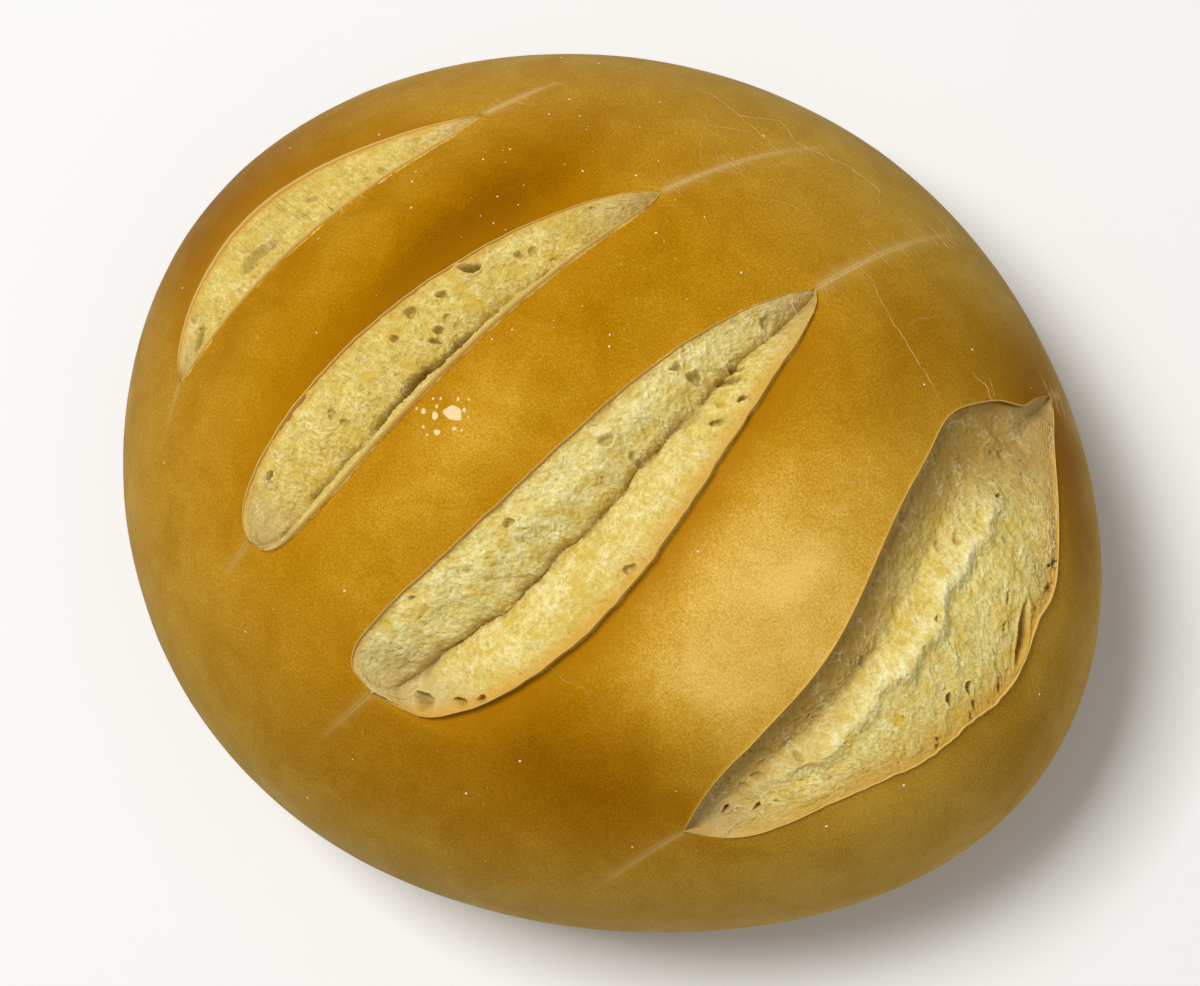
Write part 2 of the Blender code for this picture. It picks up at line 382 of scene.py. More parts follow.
SLASHES = (
    Slash(
        "first", (129.4, 48.7), across=-42.8, lean=4.8, bow=-7.2, skew=0.27,
        left=(9.9, 0.48, 0.72), right=(2.2, 1.9, 0.69), valley=0.74, depth=0.0048,
        lips=(0.0004, 0.0002), dips=(0.0006, 0.0012), near_crease=(0.5, 8.0), far_crease=(0.42, 14.0),
        rolls=(0.0005, 0.0003), rims=(0.6, 0.0), stray=(0.03, 0.02), fold=0.0005,
        toast=(0.8, 0.4), browned=(0.7, 0.1), pull=80.0, spacing=0.00022, flush=(0.4, 1.0), pale=(-0.10, -0.04),
        pores=(
            Pore(0.37, 0.45, 0.0060, 0.0013, 8.0, 0.0012),
            Pore(0.09, 0.45, 0.0030, 0.0008, 5.0, 0.0012),
            Pore(0.60, 0.35, 0.0020, 0.0007, 20.0, 0.0008),
        ),
    ),
    Slash(
        "second", (135.0, 47.5), across=-12.4, lean=7.6, bow=-5.9, skew=0.15,
        left=(9.4, 0.42, 0.60), right=(6.8, 0.26, 0.59), valley=0.70, depth=0.0060,
        lips=(0.0002, 0.0001), dips=(0.0008, 0.0018), near_crease=(0.0, 7.0), far_crease=(0.36, 25.0),
        rolls=(0.0003, 0.0003), rims=(0.0, 0.0), stray=(0.05, 0.02), fold=0.0008,
        toast=(0.7, 0.3), browned=(0.5, 0.2), pull=85.0, spacing=0.00021, pale=(-0.07, 0.0),
        ridges=(Ridge(0.71, -0.0036, 0.0008, 0.28, 0.60), Ridge(0.74, -0.0016, 0.0006, 0.05, 0.30)),
        pores=(
            Pore(0.677, 0.14, 0.0021, 0.0013, 30.0, 0.0026),
            Pore(0.530, 0.15, 0.0014, 0.0012, 0.0, 0.0014),
            Pore(0.540, 0.46, 0.0010, 0.0008, 0.0, 0.0014),
            Pore(0.518, 0.52, 0.0013, 0.0007, 60.0, 0.0014),
            Pore(0.468, 0.24, 0.0009, 0.0008, 0.0, 0.0012),
            Pore(0.600, 0.20, 0.0010, 0.0008, 0.0, 0.0012),
            Pore(0.760, 0.30, 0.0008, 0.0007, 0.0, 0.0010),
            Pore(0.800, 0.60, 0.0009, 0.0006, 0.0, 0.0010),
            Pore(0.099, 0.17, 0.0017, 0.0008, 20.0, 0.0014),
            Pore(0.198, 0.01, 0.0085, 0.0006, 3.0, 0.0022),
        ),
    ),
    Slash(
        "third", (139.4, 44.0), across=15.7, lean=6.4, bow=8.9, skew=-0.57,
        left=(12.7, 0.34, 0.80), right=(11.5, 0.17, 0.54), valley=0.50, depth=0.0082,
        lips=(0.0002, 0.0001), dips=(0.0010, 0.0020), near_crease=(-0.42, 12.0), far_crease=(0.0, 30.0),
        rolls=(0.0003, 0.0003), rims=(0.0, 0.0), stray=(0.05, 0.06), fold=0.0022,
        toast=(0.5, 0.9), browned=(0.2, 0.8), pull=62.0, toast_reach=(0.0013, 0.0028), pale=(0.14, 0.0),
        ridges=(Ridge(0.24, 0.0006, 0.0022, 0.2, 0.75), Ridge(0.72, 0.0007, 0.0030, 0.1, 0.6)),
        pores=(
            Pore(0.805, 0.58, 0.0026, 0.0013, 35.0, 0.0022),
            Pore(0.828, 0.52, 0.0018, 0.0009, 50.0, 0.0018),
            Pore(0.788, 0.84, 0.0012, 0.0008, 0.0, 0.0014),
            Pore(0.765, 0.31, 0.0016, 0.0012, 20.0, 0.0014),
            Pore(0.752, 0.13, 0.0014, 0.0010, 0.0, 0.0012),
            Pore(0.575, 0.20, 0.0018, 0.0013, 15.0, 0.0010),
            Pore(0.348, 0.14, 0.0013, 0.0009, 0.0, 0.0012),
            Pore(0.020, 0.78, 0.0028, 0.0016, 70.0, 0.0022),
            Pore(0.055, 0.92, 0.0016, 0.0010, 60.0, 0.0016),
            Pore(0.079, 0.96, 0.0010, 0.0008, 0.0, 0.0014),
            Pore(0.415, 0.92, 0.0014, 0.0009, 0.0, 0.0010),
            Pore(0.728, 0.78, 0.0014, 0.0009, 30.0, 0.0012),
        ),
    ),
    Slash(
        "fourth", (138.0, 15.0), across=48.6, lean=-4.6, bow=14.2, skew=0.69,
        left=(14.2, 3.83, 1.26), right=(12.3, 0.33, 0.64), valley=0.30, depth=0.0062,
        lips=(0.0022, 0.0001), dips=(0.0004, 0.0008), near_crease=(-0.47, 20.0), far_crease=(0.0, 5.0),
        rolls=(0.0004, 0.0003), rims=(0.0, 0.0), stray=(0.0, 0.05), overhang=0.0030, fold=0.0,
        toast=(0.1, 0.9), browned=(0.0, 0.15), pull=50.0, spacing=0.00030, flush=(0.0, 1.0),
        toast_reach=(0.0013, 0.0042), bowl=True, pale=(0.0, 0.05),
        bulges=(
            ((0.12, 0.07, -1.2), (0.80, 0.05, 1.3), (0.92, 0.03, -1.2)),
            ((0.52, 0.14, -1.9), (0.86, 0.045, 2.3), (0.955, 0.03, -1.6)),
        ),
        ridges=(Ridge(0.47, 0.0018, 0.0022, 0.15, 0.80), Ridge(0.33, -0.0006, 0.0025, 0.2, 0.7)),
        pores=(
            Pore(0.748, 0.925, 0.0060, 0.0022, -12.0, 0.0026),
            Pore(0.872, 0.955, 0.0024, 0.0006, -8.0, 0.0016),
            Pore(0.845, 0.955, 0.0020, 0.0006, -8.0, 0.0016),
            Pore(0.640, 0.950, 0.0014, 0.0009, -10.0, 0.0010),
            Pore(0.552, 0.935, 0.0009, 0.0009, 20.0, 0.0009),
            Pore(0.528, 0.972, 0.0008, 0.0007, 0.0, 0.0008),
            Pore(0.420, 0.945, 0.0007, 0.0007, 0.0, 0.0008),
            Pore(0.405, 0.975, 0.0008, 0.0006, 0.0, 0.0007),
            Pore(0.080, 0.60, 0.0012, 0.0006, 0.0, 0.0012),
            Pore(0.050, 0.40, 0.0012, 0.0006, 0.0, 0.0012),
            Pore(0.746, 0.76, 0.0014, 0.0008, 0.0, 0.0012),
            Pore(0.713, 0.81, 0.0012, 0.0007, 0.0, 0.0012),
            Pore(0.511, 0.82, 0.0013, 0.0009, 0.0, 0.0014),
            Pore(0.568, 0.85, 0.0015, 0.0010, 20.0, 0.0012),
            Pore(0.595, 0.48, 0.0006, 0.0005, 0.0, 0.0016),
            Pore(0.825, 0.46, 0.0009, 0.0006, 0.0, 0.0012),
        ),
    ),
)


@dataclass(frozen=True)
class BakeSpot:
    """A soft-edged area of crust that the oven coloured more, or less where its strength is negative."""

    around: float
    across: float
    reach_around: float
    reach_across: float
    strength: float


BAKE_SPOTS = (
    BakeSpot(66.0, -22.0, 22.0, 10.0, 0.42),
    BakeSpot(66.0, 2.0, 22.0, 9.0, 0.14),
    BakeSpot(92.0, -26.0, 28.0, 9.0, 0.46),
    BakeSpot(38.0, 36.0, 15.0, 12.0, 0.18),
    BakeSpot(20.0, 50.0, 10.0, 13.0, 0.54),
    BakeSpot(95.0, -70.0, 44.0, 20.0, 0.44),
    BakeSpot(92.0, 50.0, 36.0, 14.0, -0.38),
    BakeSpot(50.0, 84.0, 30.0, 16.0, 0.18),
    BakeSpot(96.0, -1.0, 14.0, 7.0, -0.16),
    BakeSpot(20.0, 4.0, 14.0, 20.0, -0.06),
    BakeSpot(134.0, 42.0, 13.0, 18.0, 0.50),
    BakeSpot(150.0, 18.0, 14.0, 34.0, 0.22),
)


@dataclass(frozen=True)
class CrustFinish:
    """Crust baked on a hearth: thin dried dough skin, satin, with starch grain that gives a fine speckle."""

    top: tuple = ((0.0, "#e6c062"), (0.3, "#c59325"), (0.5, "#ae7b0d"), (0.7, "#9e6900"), (1.0, "#845200"))
    flank: tuple = ((0.0, "#c9a64d"), (0.3, "#b8953c"), (0.5, "#a8842e"), (0.7, "#99701a"), (1.0, "#8a5806"))
    flank_heights: tuple = (0.097, 0.058)
    # Pale of the stretched lips, and of the walls inside the slashes, where it is partly painted light that lifts their
    # shade
    rim: str = "#d9b566"
    toasted: str = "#a36c06"
    crease: str = "#d8bd7c"
    base: str = "#b08a4c"
    mottle_size: float = 0.013
    grain_size: float = 0.00042
    roughness: float = 0.55

    def material(self) -> bpy.types.Material:
        """Makes the baked crust.

        Returns:
            A material that reads the attributes bake, toast, rim and crease of the crust.
        """
        made = bpy.data.materials.new("baked crust")
        made.use_nodes = True
        tree = made.node_tree
        shader = tree.nodes["Principled BSDF"]
        place = add_node(tree, "ShaderNodeTexCoord", output="Object")
        bake = add_node(tree, "ShaderNodeAttribute", output="Fac", attribute_name="bake")
        toast = add_node(tree, "ShaderNodeAttribute", output="Fac", attribute_name="toast")
        rim = add_node(tree, "ShaderNodeAttribute", output="Fac", attribute_name="rim")
        crease = add_node(tree, "ShaderNodeAttribute", output="Fac", attribute_name="crease")
        # Patches where the skin dried faster browned more, over a centimetre or so
        mottle = add_node(
            tree, "ShaderNodeTexNoise",
            {"Vector": place, "Scale": 1 / self.mottle_size, "Detail": 4.0, "Roughness": 0.62, "Distortion": 0.4},
        )
        shift = add_node(
            tree, "ShaderNodeMapRange", {"Value": mottle, "From Min": 0.3, "From Max": 0.7, "To Min": -0.09, "To Max": 0.09}
        )
        depth = add_node(tree, "ShaderNodeMath", {0: bake, 1: shift}, operation="ADD")
        # Starch grains give the speckle, drawn a little coarser than they are so that they show
        grain = add_node(
            tree, "ShaderNodeTexNoise",
            {"Vector": place, "Scale": 1 / self.grain_size, "Detail": 2.0, "Roughness": 0.7},
        )
        grain_shift = add_node(
            tree, "ShaderNodeMapRange", {"Value": grain, "From Min": 0.3, "From Max": 0.7, "To Min": -0.15, "To Max": 0.15}
        )
        tone = add_node(tree, "ShaderNodeMath", {0: depth, 1: grain_shift}, operation="ADD")
        # The flanks, further from the oven's roof, stay more yellow than the top
        height = add_node(tree, "ShaderNodeSeparateXYZ", {"Vector": place}, output="Z")
        high, low = self.flank_heights
        sallow = add_node(tree, "ShaderNodeMapRange", {"Value": height, "From Min": high, "From Max": low})
        baked = add_node(
            tree, "ShaderNodeMix",
            {"Factor": sallow, "A": ramp_node(tree, tone, self.top), "B": ramp_node(tree, tone, self.flank)},
            output="Result", data_type="RGBA",
        )
        toasted = add_node(
            tree, "ShaderNodeMix", {"Factor": toast, "A": baked, "B": linear(self.toasted)}, output="Result",
            data_type="RGBA",
        )
        # The stretched skin along each lip stays pale, the crust's wall inside each slash is painted pale, partly as
        # painted light that lifts the shade in the gap beside the crumb, and the creases show dried dough
        lipped = add_node(
            tree, "ShaderNodeMix", {"Factor": rim, "A": toasted, "B": linear(self.rim)}, output="Result",
            data_type="RGBA",
        )
        flaked = add_node(
            tree, "ShaderNodeMapRange", {"Value": grain, "From Min": 0.38, "From Max": 0.56, "To Min": 0.35, "To Max": 1.0}
        )
        flaked = add_node(tree, "ShaderNodeMath", {0: crease, 1: flaked}, operation="MULTIPLY")
        creased = add_node(
            tree, "ShaderNodeMix", {"Factor": flaked, "A": lipped, "B": linear(self.crease)}, output="Result",
            data_type="RGBA",
        )
        # The foot of the loaf and its base, which stood on floured stone, are paler and duller
        foot = add_node(
            tree, "ShaderNodeMapRange", {"Value": height, "From Min": 0.010, "From Max": 0.0, "To Max": 0.85}
        )
        colour = add_node(
            tree, "ShaderNodeMix", {"Factor": foot, "A": creased, "B": linear(self.base)}, output="Result",
            data_type="RGBA",
        )
        tree.links.new(colour, shader.inputs["Base Color"])
        rough = add_node(
            tree, "ShaderNodeMapRange",
            {"Value": mottle, "From Min": 0.3, "From Max": 0.7, "To Min": self.roughness - 0.05, "To Max": self.roughness + 0.07},
        )
        tree.links.new(rough, shader.inputs["Roughness"])
        shader.inputs["Specular IOR Level"].default_value = 0.04
        shader.inputs["Specular Tint"].default_value = linear("#e0a848")
        bump = add_node(
            tree, "ShaderNodeBump", {"Height": grain, "Strength": 0.5, "Distance": 0.00014}, output="Normal"
        )
        tree.links.new(bump, shader.inputs["Normal"])
        return made


@dataclass(frozen=True)
class CrumbFinish:
    """Crumb torn open while it baked: starch gel full of bubbles, matte, pale, toasted where it stands proud."""

    tones: tuple = ((0.0, "#ad8d3c"), (0.32, "#c7ab50"), (0.55, "#d9c46f"), (0.78, "#e9db93"), (1.0, "#f4ecc0"))
    straw: str = "#d0ae3c"
    # Painted shade that darkens the pores, pits and fold slits, where shadow falls
    deep: str = "#86652a"
    web: str = "#eee3b2"
    toasted: str = "#cd9a30"
    # Painted shadow under the ear of the widest slash, together with the crumb's browning there
    shaded: str = "#a57f36"
    film: str = "#b8a068"
    patch_size: float = 0.0045
    knob_size: float = 0.0013
    grain_size: float = 0.0005
    roughness: float = 0.78

    def material(self) -> bpy.types.Material:
        """Makes the torn crumb.

        Returns:
            A material that reads the attributes of the crumb: pit, the painted shade in its hollows and slits; crest;
            web; toast; early, the ear's painted shadow with some browning; film; and pale.
        """
        made = bpy.data.materials.new("torn crumb")
        made.use_nodes = True
        tree = made.node_tree
        shader = tree.nodes["Principled BSDF"]
        place = add_node(tree, "ShaderNodeTexCoord", output="Object")
        # Raised grains dried paler, and the dips between them kept their yellow
        crest = add_node(tree, "ShaderNodeAttribute", output="Fac", attribute_name="crest")
        knob = add_node(tree, "ShaderNodeTexNoise", {"Vector": place, "Scale": 1 / self.knob_size, "Detail": 3.0})
        grain = add_node(
            tree, "ShaderNodeTexNoise", {"Vector": place, "Scale": 1 / self.grain_size, "Detail": 2.0, "Roughness": 0.6}
        )
        # Each wall's own tone shift, partly painted light, and the painted highlight on the raised ridges
        pale = add_node(tree, "ShaderNodeAttribute", output="Fac", attribute_name="pale")
        tone = add_node(tree, "ShaderNodeMath", {0: crest, 1: 0.55, 2: pale}, operation="MULTIPLY_ADD")
        tone = add_node(tree, "ShaderNodeMath", {0: knob, 1: 0.56, 2: tone}, operation="MULTIPLY_ADD")
        tone = add_node(tree, "ShaderNodeMath", {0: grain, 1: 0.82, 2: tone}, operation="MULTIPLY_ADD")
        tone = add_node(tree, "ShaderNodeMath", {0: tone, 1: 0.44}, operation="SUBTRACT")
        body = ramp_node(tree, tone, self.tones)
        # Wetter, yellower patches, half a centimetre across
        patch = add_node(
            tree, "ShaderNodeTexNoise", {"Vector": place, "Scale": 1 / self.patch_size, "Detail": 3.0, "Roughness": 0.6}
        )
        blend = add_node(tree, "ShaderNodeMapRange", {"Value": patch, "From Min": 0.5, "From Max": 0.66, "To Max": 0.75})
        colour = mix_node(tree, blend, body, self.straw)
        # The ear's painted shadow with some browning, and the painted shade of the hollows and slits, are laid into the
        # colour here
        for label, share, shade in (
            ("early", 0.80, self.shaded), ("film", 0.65, self.film), ("web", 0.5, self.web),
            ("toast", 0.9, self.toasted), ("pit", 0.36, self.deep),
        ):
            amount = add_node(tree, "ShaderNodeAttribute", output="Fac", attribute_name=label)
            amount = add_node(tree, "ShaderNodeMath", {0: amount, 1: share}, operation="MULTIPLY")
            colour = mix_node(tree, amount, colour, shade)
        tree.links.new(colour, shader.inputs["Base Color"])
        shader.inputs["Roughness"].default_value = self.roughness
        shader.inputs["Specular IOR Level"].default_value = 0.25
        rough = add_node(tree, "ShaderNodeMath", {0: knob, 1: 1.5, 2: grain}, operation="MULTIPLY_ADD")
        bump = add_node(tree, "ShaderNodeBump", {"Height": rough, "Strength": 0.6, "Distance": 0.0003}, output="Normal")
        tree.links.new(bump, shader.inputs["Normal"])
        return made


@dataclass(frozen=True)
class PowderFinish:
    """Dry white flour or dried dough that sits on the crust: chalky, with no gloss."""

    name: str
    light: str
    dark: str
    patch_size: float = 0.0008

    def material(self) -> bpy.types.Material:
        """Makes the chalky powder, mottled so that it doesn't look like paint."""
        made = bpy.data.materials.new(self.name)
        made.use_nodes = True
        tree = made.node_tree
        shader = tree.nodes["Principled BSDF"]
        place = add_node(tree, "ShaderNodeTexCoord", output="Object")
        patch = add_node(tree, "ShaderNodeTexNoise", {"Vector": place, "Scale": 1 / self.patch_size, "Detail": 2.0})
        colour = add_node(
            tree, "ShaderNodeMix", {"Factor": patch, "A": linear(self.dark), "B": linear(self.light)},
            output="Result", data_type="RGBA",
        )
        tree.links.new(colour, shader.inputs["Base Color"])
        shader.inputs["Roughness"].default_value = 0.85
        return made


class NodeSheet:
    """A Geometry Nodes tree with named sizes, put on an object and turned into a plain mesh."""

    def __init__(self, name: str, sizes: dict[str, float]) -> None:
        """Starts the tree.

        Args:
            name: what the tree makes.
            sizes: its named inputs and their values.
        """
        self.tree = bpy.data.node_groups.new(name, "GeometryNodeTree")
        self.sizes = sizes
        self.tree.interface.new_socket("Geometry", in_out="INPUT", socket_type="NodeSocketGeometry")
        self.tree.interface.new_socket("Geometry", in_out="OUTPUT", socket_type="NodeSocketGeometry")
        self.inputs = {}
        for label in sizes:
            socket = self.tree.interface.new_socket(label, in_out="INPUT", socket_type="NodeSocketFloat")
            self.inputs[label] = socket.identifier
        self.start = self.tree.nodes.new("NodeGroupInput")

    def size(self, label: str) -> bpy.types.NodeSocket:
        """Gives the socket of a named input."""
        return self.start.outputs[label]

    def geometry(self) -> bpy.types.NodeSocket:
        """Gives the socket of the geometry that the tree starts from."""
        return self.start.outputs["Geometry"]

    def attribute(self, name: str) -> bpy.types.NodeSocket:
        """Gives the socket of a number stored on the mesh."""
        return add_node(self.tree, "GeometryNodeInputNamedAttribute", {"Name": name}, "Attribute", data_type="FLOAT")

    def math(self, operation: str, first: object, second: object = 0.0, third: object = 0.0) -> bpy.types.NodeSocket:
        """Gives the socket of a sum, product or the like of two or three values."""
        values = {0: first, 1: second, 2: third}
        return add_node(self.tree, "ShaderNodeMath", values, operation=operation)

    def finish(self, geometry: bpy.types.NodeSocket, finish: bpy.types.Material) -> None:
        """Ends the tree with real geometry and its material.

        Args:
            geometry: the socket that holds the result.
            finish: the material of all its faces.
        """
        real = add_node(self.tree, "GeometryNodeRealizeInstances", {"Geometry": geometry})
        smooth = add_node(self.tree, "GeometryNodeSetShadeSmooth", {"Geometry": real})
        dressed = add_node(self.tree, "GeometryNodeSetMaterial", {"Geometry": smooth, "Material": finish})
        end = self.tree.nodes.new("NodeGroupOutput")
        self.tree.links.new(dressed, end.inputs["Geometry"])

    def shape(self, piece: bpy.types.Object) -> bpy.types.Object:
        """Runs the tree on an object and keeps the result as a plain mesh.

        Args:
            piece: a mesh or curve object.

        Returns:
            A mesh object of the same name without the modifier.
        """
        modifier = piece.modifiers.new(self.tree.name, "NODES")
        modifier.node_group = self.tree
        for label, identifier in self.inputs.items():
            modifier[identifier] = self.sizes[label]
        graph = bpy.context.evaluated_depsgraph_get()
        mesh = bpy.data.meshes.new_from_object(piece.evaluated_get(graph), preserve_all_data_layers=True, depsgraph=graph)
        name = piece.name
        piece.modifiers.remove(modifier)
        bpy.data.objects.remove(piece)
        shaped = bpy.data.objects.new(name, mesh)
        mesh.name = name
        bpy.context.scene.collection.objects.link(shaped)
        return shaped


def new_piece(
    name: str, points: np.ndarray, faces: list, values: dict[str, np.ndarray], edges: list | None = None
) -> bpy.types.Object:
    """Makes a mesh object with numbers stored on its points.

    Args:
        name: name of the piece.
        points: places of its points.
        faces: point numbers of its faces.
        values: for each attribute, one number a point.
        edges: point numbers of loose edges.

    Returns:
        The object, linked to the scene.
    """
    mesh = bpy.data.meshes.new(name)
    mesh.from_pydata(points.tolist(), edges or [], faces)
    for label, numbers in values.items():
        mesh.attributes.new(label, "FLOAT", "POINT").data.foreach_set("value", numbers.astype(np.float32))
    mesh.update()
    piece = bpy.data.objects.new(name, mesh)
    bpy.context.scene.collection.objects.link(piece)
    return piece


def grid_faces(rows: int, columns: int, wrap: bool) -> np.ndarray:
    """Lists the quads of a grid whose points are numbered row by row.

    Args:
        rows: number of rows.
        columns: number of points in a row.
        wrap: whether the last row joins the first.

    Returns:
        One line of four point numbers for each quad.
    """
    row = np.arange(rows if wrap else rows - 1)[:, None]
    column = np.arange(columns - 1)[None]
    here = row * columns + column
    there = ((row + 1) % rows) * columns + column
    return np.stack([here, there, there + 1, here + 1], axis=-1).reshape(-1, 4)


@dataclass
class Crust:
    """The closed skin of the loaf, rolled over the lips of the slashes and cut flat at its base."""

    form: LoafForm
    rows_above: int = 350
    rows_below: int = 64
    band_columns: tuple = (26, 32, 34, 38, 28)
    roll_steps: int = 5
    dip_reach: float = 0.007
    tuck: float = 0.0048
    letting_go: tuple = (12.0, -42.0)
    swell_size: float = 0.034
    swell_depth: float = 0.0005
    dimple_size: float = 0.006
    dimple_depth: float = 0.00012

    def mean_sink(self) -> float:
        """Gives how far the unevenness lowers the crust on average."""
        return (self.swell_depth + self.dimple_depth) / 2

    def row_angles(self) -> np.ndarray:
        """Gives the around angle of each row, most of them over the top."""
        above = 180.0 * np.arange(self.rows_above) / self.rows_above
        below = 180.0 * (1 + np.arange(self.rows_below) / self.rows_below)
        return np.concatenate([above, np.where(below < 270.0, below, below - 360.0)])

    def hold(self, around: np.ndarray) -> np.ndarray:
        """Gives 1 where the columns follow the slashes and 0 well below the waist."""
        turn = np.radians(around)
        above_waist = np.degrees(np.arctan2(np.sin(turn), np.abs(np.cos(turn))))
        return smooth_step(above_waist, self.letting_go[1], self.letting_go[0])

    def dip(self, across: np.ndarray, around: np.ndarray, radius: np.ndarray) -> np.ndarray:
        """Tells how far the crust sinks beside the slashes.

        Args:
            across: across angles of the places.
            around: around angles of the places.
            radius: distance of the skin from the centre.

        Returns:
            Depths in metres.
        """
        sink = np.zeros(np.broadcast(across, around).shape)
        for slash in SLASHES:
            left, right = slash.edges(around)
            share = slash.openness(around) ** 0.5
            beside = np.radians(left - across) * radius
            sink += np.where(beside >= 0, slash.dips[0] * share * bell(beside, self.dip_reach), 0.0)
            beside = np.radians(across - right) * radius
            sink += np.where(beside >= 0, slash.dips[1] * share * bell(beside, self.dip_reach), 0.0)
        return sink

    def lip(self, slash: Slash, side: Side, around: np.ndarray, width: np.ndarray) -> tuple[np.ndarray, np.ndarray]:
        """Rolls the crust over one edge of a slash and down under the crumb.

        Args:
            slash: the slash.
            side: which edge.
            around: around angles of the rows.
            width: width of the slash in each row.

        Returns:
            Distances in from the edge, and depths, one line a row and one column a step.
        """
        open_share = slash.openness(around) ** slash.tip_power
        roll = np.minimum(slash.rolls[side.value] * np.maximum(open_share, 0.3), 0.3 * width)[:, None]
        turn = np.radians(90.0 * np.arange(1, self.roll_steps + 1) / self.roll_steps)[None]
        inward = roll * np.sin(turn)
        depth = roll * (1 - np.cos(turn))
        floor = (slash.depth + self.tuck) * open_share + slash.scar_floor * slash.crease(around)
        floor = np.maximum(floor[:, None], 0.0)
        lip = slash.lips[side.value] * open_share[:, None]
        under = (slash.overhang if side is Side.LEFT else 0.0) * slash.openness(around)[:, None]
        inward = np.concatenate([inward, roll - 0.55 * under, roll - under], axis=1)
        depth = np.minimum(depth, floor)
        depth = np.concatenate([depth, np.minimum(np.maximum(lip * 0.9, roll), floor), floor], axis=1)
        return inward, depth

    def build(self) -> tuple[np.ndarray, dict[str, np.ndarray]]:
        """Works out the grid of the crust.

        Returns:
            Points by row and column, and the numbers stored on them.
        """
        around = self.row_angles()
        hold = self.hold(around)[:, None]
        steps = self.roll_steps + 2
        total = sum(self.band_columns) + (2 * steps + 2) * len(SLASHES)
        across_parts, depth_parts = [], []
        passed = 0
        left_end = np.full_like(around, -90.0)
        for slash, band in zip(SLASHES, self.band_columns):
            left, right = slash.edges(around)
            radius = self.form.radius(slash.line(around), around)
            passed += band
            even_left = 180.0 * (passed / total - 0.5)
            passed += 2 * steps + 2
            even_right = 180.0 * (passed / total - 0.5)
            keep = hold[:, 0]
            guide_left = keep * left + (1 - keep) * even_left
            guide_right = keep * right + (1 - keep) * even_right
            across_parts.append(self.band(left_end, guide_left, band))
            depth_parts.append(np.zeros((len(around), band)))
            width = np.radians(guide_right - guide_left) * radius
            left_in, left_deep = self.lip(slash, Side.LEFT, around, width)
            right_in, right_deep = self.lip(slash, Side.RIGHT, around, width)
            zero = np.zeros((len(around), 1))
            inward = np.concatenate([zero, left_in, (width[:, None] - right_in)[:, ::-1]], axis=1)
            place = inward / width[:, None]
            even = np.linspace(0.0, 1.0, place.shape[1] + 1)[None, :-1]
            place = hold * place + (1 - hold) * even
            across_parts.append(guide_left[:, None] + (guide_right - guide_left)[:, None] * place)
            depth_parts.append(np.concatenate([zero, left_deep, right_deep[:, ::-1]], axis=1))
            left_end = guide_right
        across_parts.append(self.band(left_end, np.full_like(around, 90.0), self.band_columns[-1]))
        depth_parts.append(np.zeros((len(around), self.band_columns[-1])))
        across_parts.append(np.full((len(around), 1), 90.0))
        depth_parts.append(np.zeros((len(around), 1)))
        across = np.concatenate(across_parts, axis=1)
        depth = np.concatenate(depth_parts, axis=1)
        return self.place(across, around[:, None], depth)

    def band(self, left: np.ndarray, right: np.ndarray, columns: int) -> np.ndarray:
        """Spreads columns over the crust between two slashes, closer together near their lips."""
        share = np.arange(columns)[None] / columns
        eased = 0.5 - 0.5 * np.cos(math.pi * share)
        return left[:, None] + (right - left)[:, None] * (0.4 * share + 0.6 * eased)

    def place(self, across: np.ndarray, around: np.ndarray, depth: np.ndarray) -> tuple[np.ndarray, dict]:
        """Puts the grid on the loaf and colours it.

        Args:
            across: across angles.
            around: around angles.
            depth: depths below the crust.

        Returns:
            Points, and the numbers stored on them.
        """
        skin = self.form.point(across, around)
        normal = self.form.normal(skin)
        radius = self.form.radius(across, around)
        marked = self.form.marked(skin)
        sink = marked * (self.dip(across, around, radius) + depth)
        points = skin - normal * sink[..., None]
        bake = np.full(across.shape, 0.45)
        for spot in BAKE_SPOTS:
            distance = ((around - spot.around) / spot.reach_around) ** 2 + ((across - spot.across) / spot.reach_across) ** 2
            bake += spot.strength * np.exp(-distance)
        rim = np.zeros(across.shape)
        toast = np.zeros(across.shape)
        crease = np.zeros(across.shape)
        away = np.full(across.shape, 1.0)
        for slash in SLASHES:
            left, right = slash.edges(around)
            along = np.radians(slash.past_tip(around)) * radius * np.cos(np.radians(across))
            beside_left = np.radians(np.maximum(left - across, 0.0)) * radius
            beside_right = np.radians(np.maximum(across - right, 0.0)) * radius
            side = np.hypot(beside_left + beside_right, along)
            away = np.minimum(away, side)
            share = np.clip(slash.openness(around) * 2.5, 0.0, 1.0)
            pale_rim = np.where(beside_left > 0, slash.rims[0], slash.rims[1])
            rim = np.maximum(rim, pale_rim * share * bell(side, 0.0006))
            # Inside a slash the crust's wall is painted pale: partly its crumb-like colour, partly painted light that
            # lifts the shade in the gap beside the crumb
            torn = (across > left) & (across < right) & (slash.openness(around) > 0.05)
            rim = np.where(torn, 0.85, rim)
            heat = np.where(beside_left > 0, slash.browned[0], slash.browned[1])
            toast = np.maximum(toast, heat * share * smooth_step(side, -0.0004, 0.0010) * bell(side, 0.0060))
            pale = smooth_step(slash.past_tip(around), 0.0, 1.0) * slash.crease(around) ** 0.7
            pale = pale * np.where(around > slash.tips[0], 0.45, 1.0)
            line = np.radians(across - slash.line(around)) * radius
            crease = np.maximum(crease, 0.70 * pale * bell(line, 0.00045) + 0.24 * pale * bell(line, 0.0018))
        calm = smooth_step(away, 0.0, 0.004)
        firm = smooth_step(points[..., 2], 0.0005, 0.006)
        top = smooth_step(points[..., 2], 0.055, 0.075) * smooth_step(away, 0.001, 0.003)
        ridge = np.exp(-(((around - 64) / 20) ** 2) - ((across + 14) / 24) ** 2)
        flour = top * (0.10 + 0.9 * ridge)
        return points, {
            "bake": bake, "rim": rim, "toast": toast, "crease": crease, "calm": calm, "firm": firm,
            "flour": flour,
        }

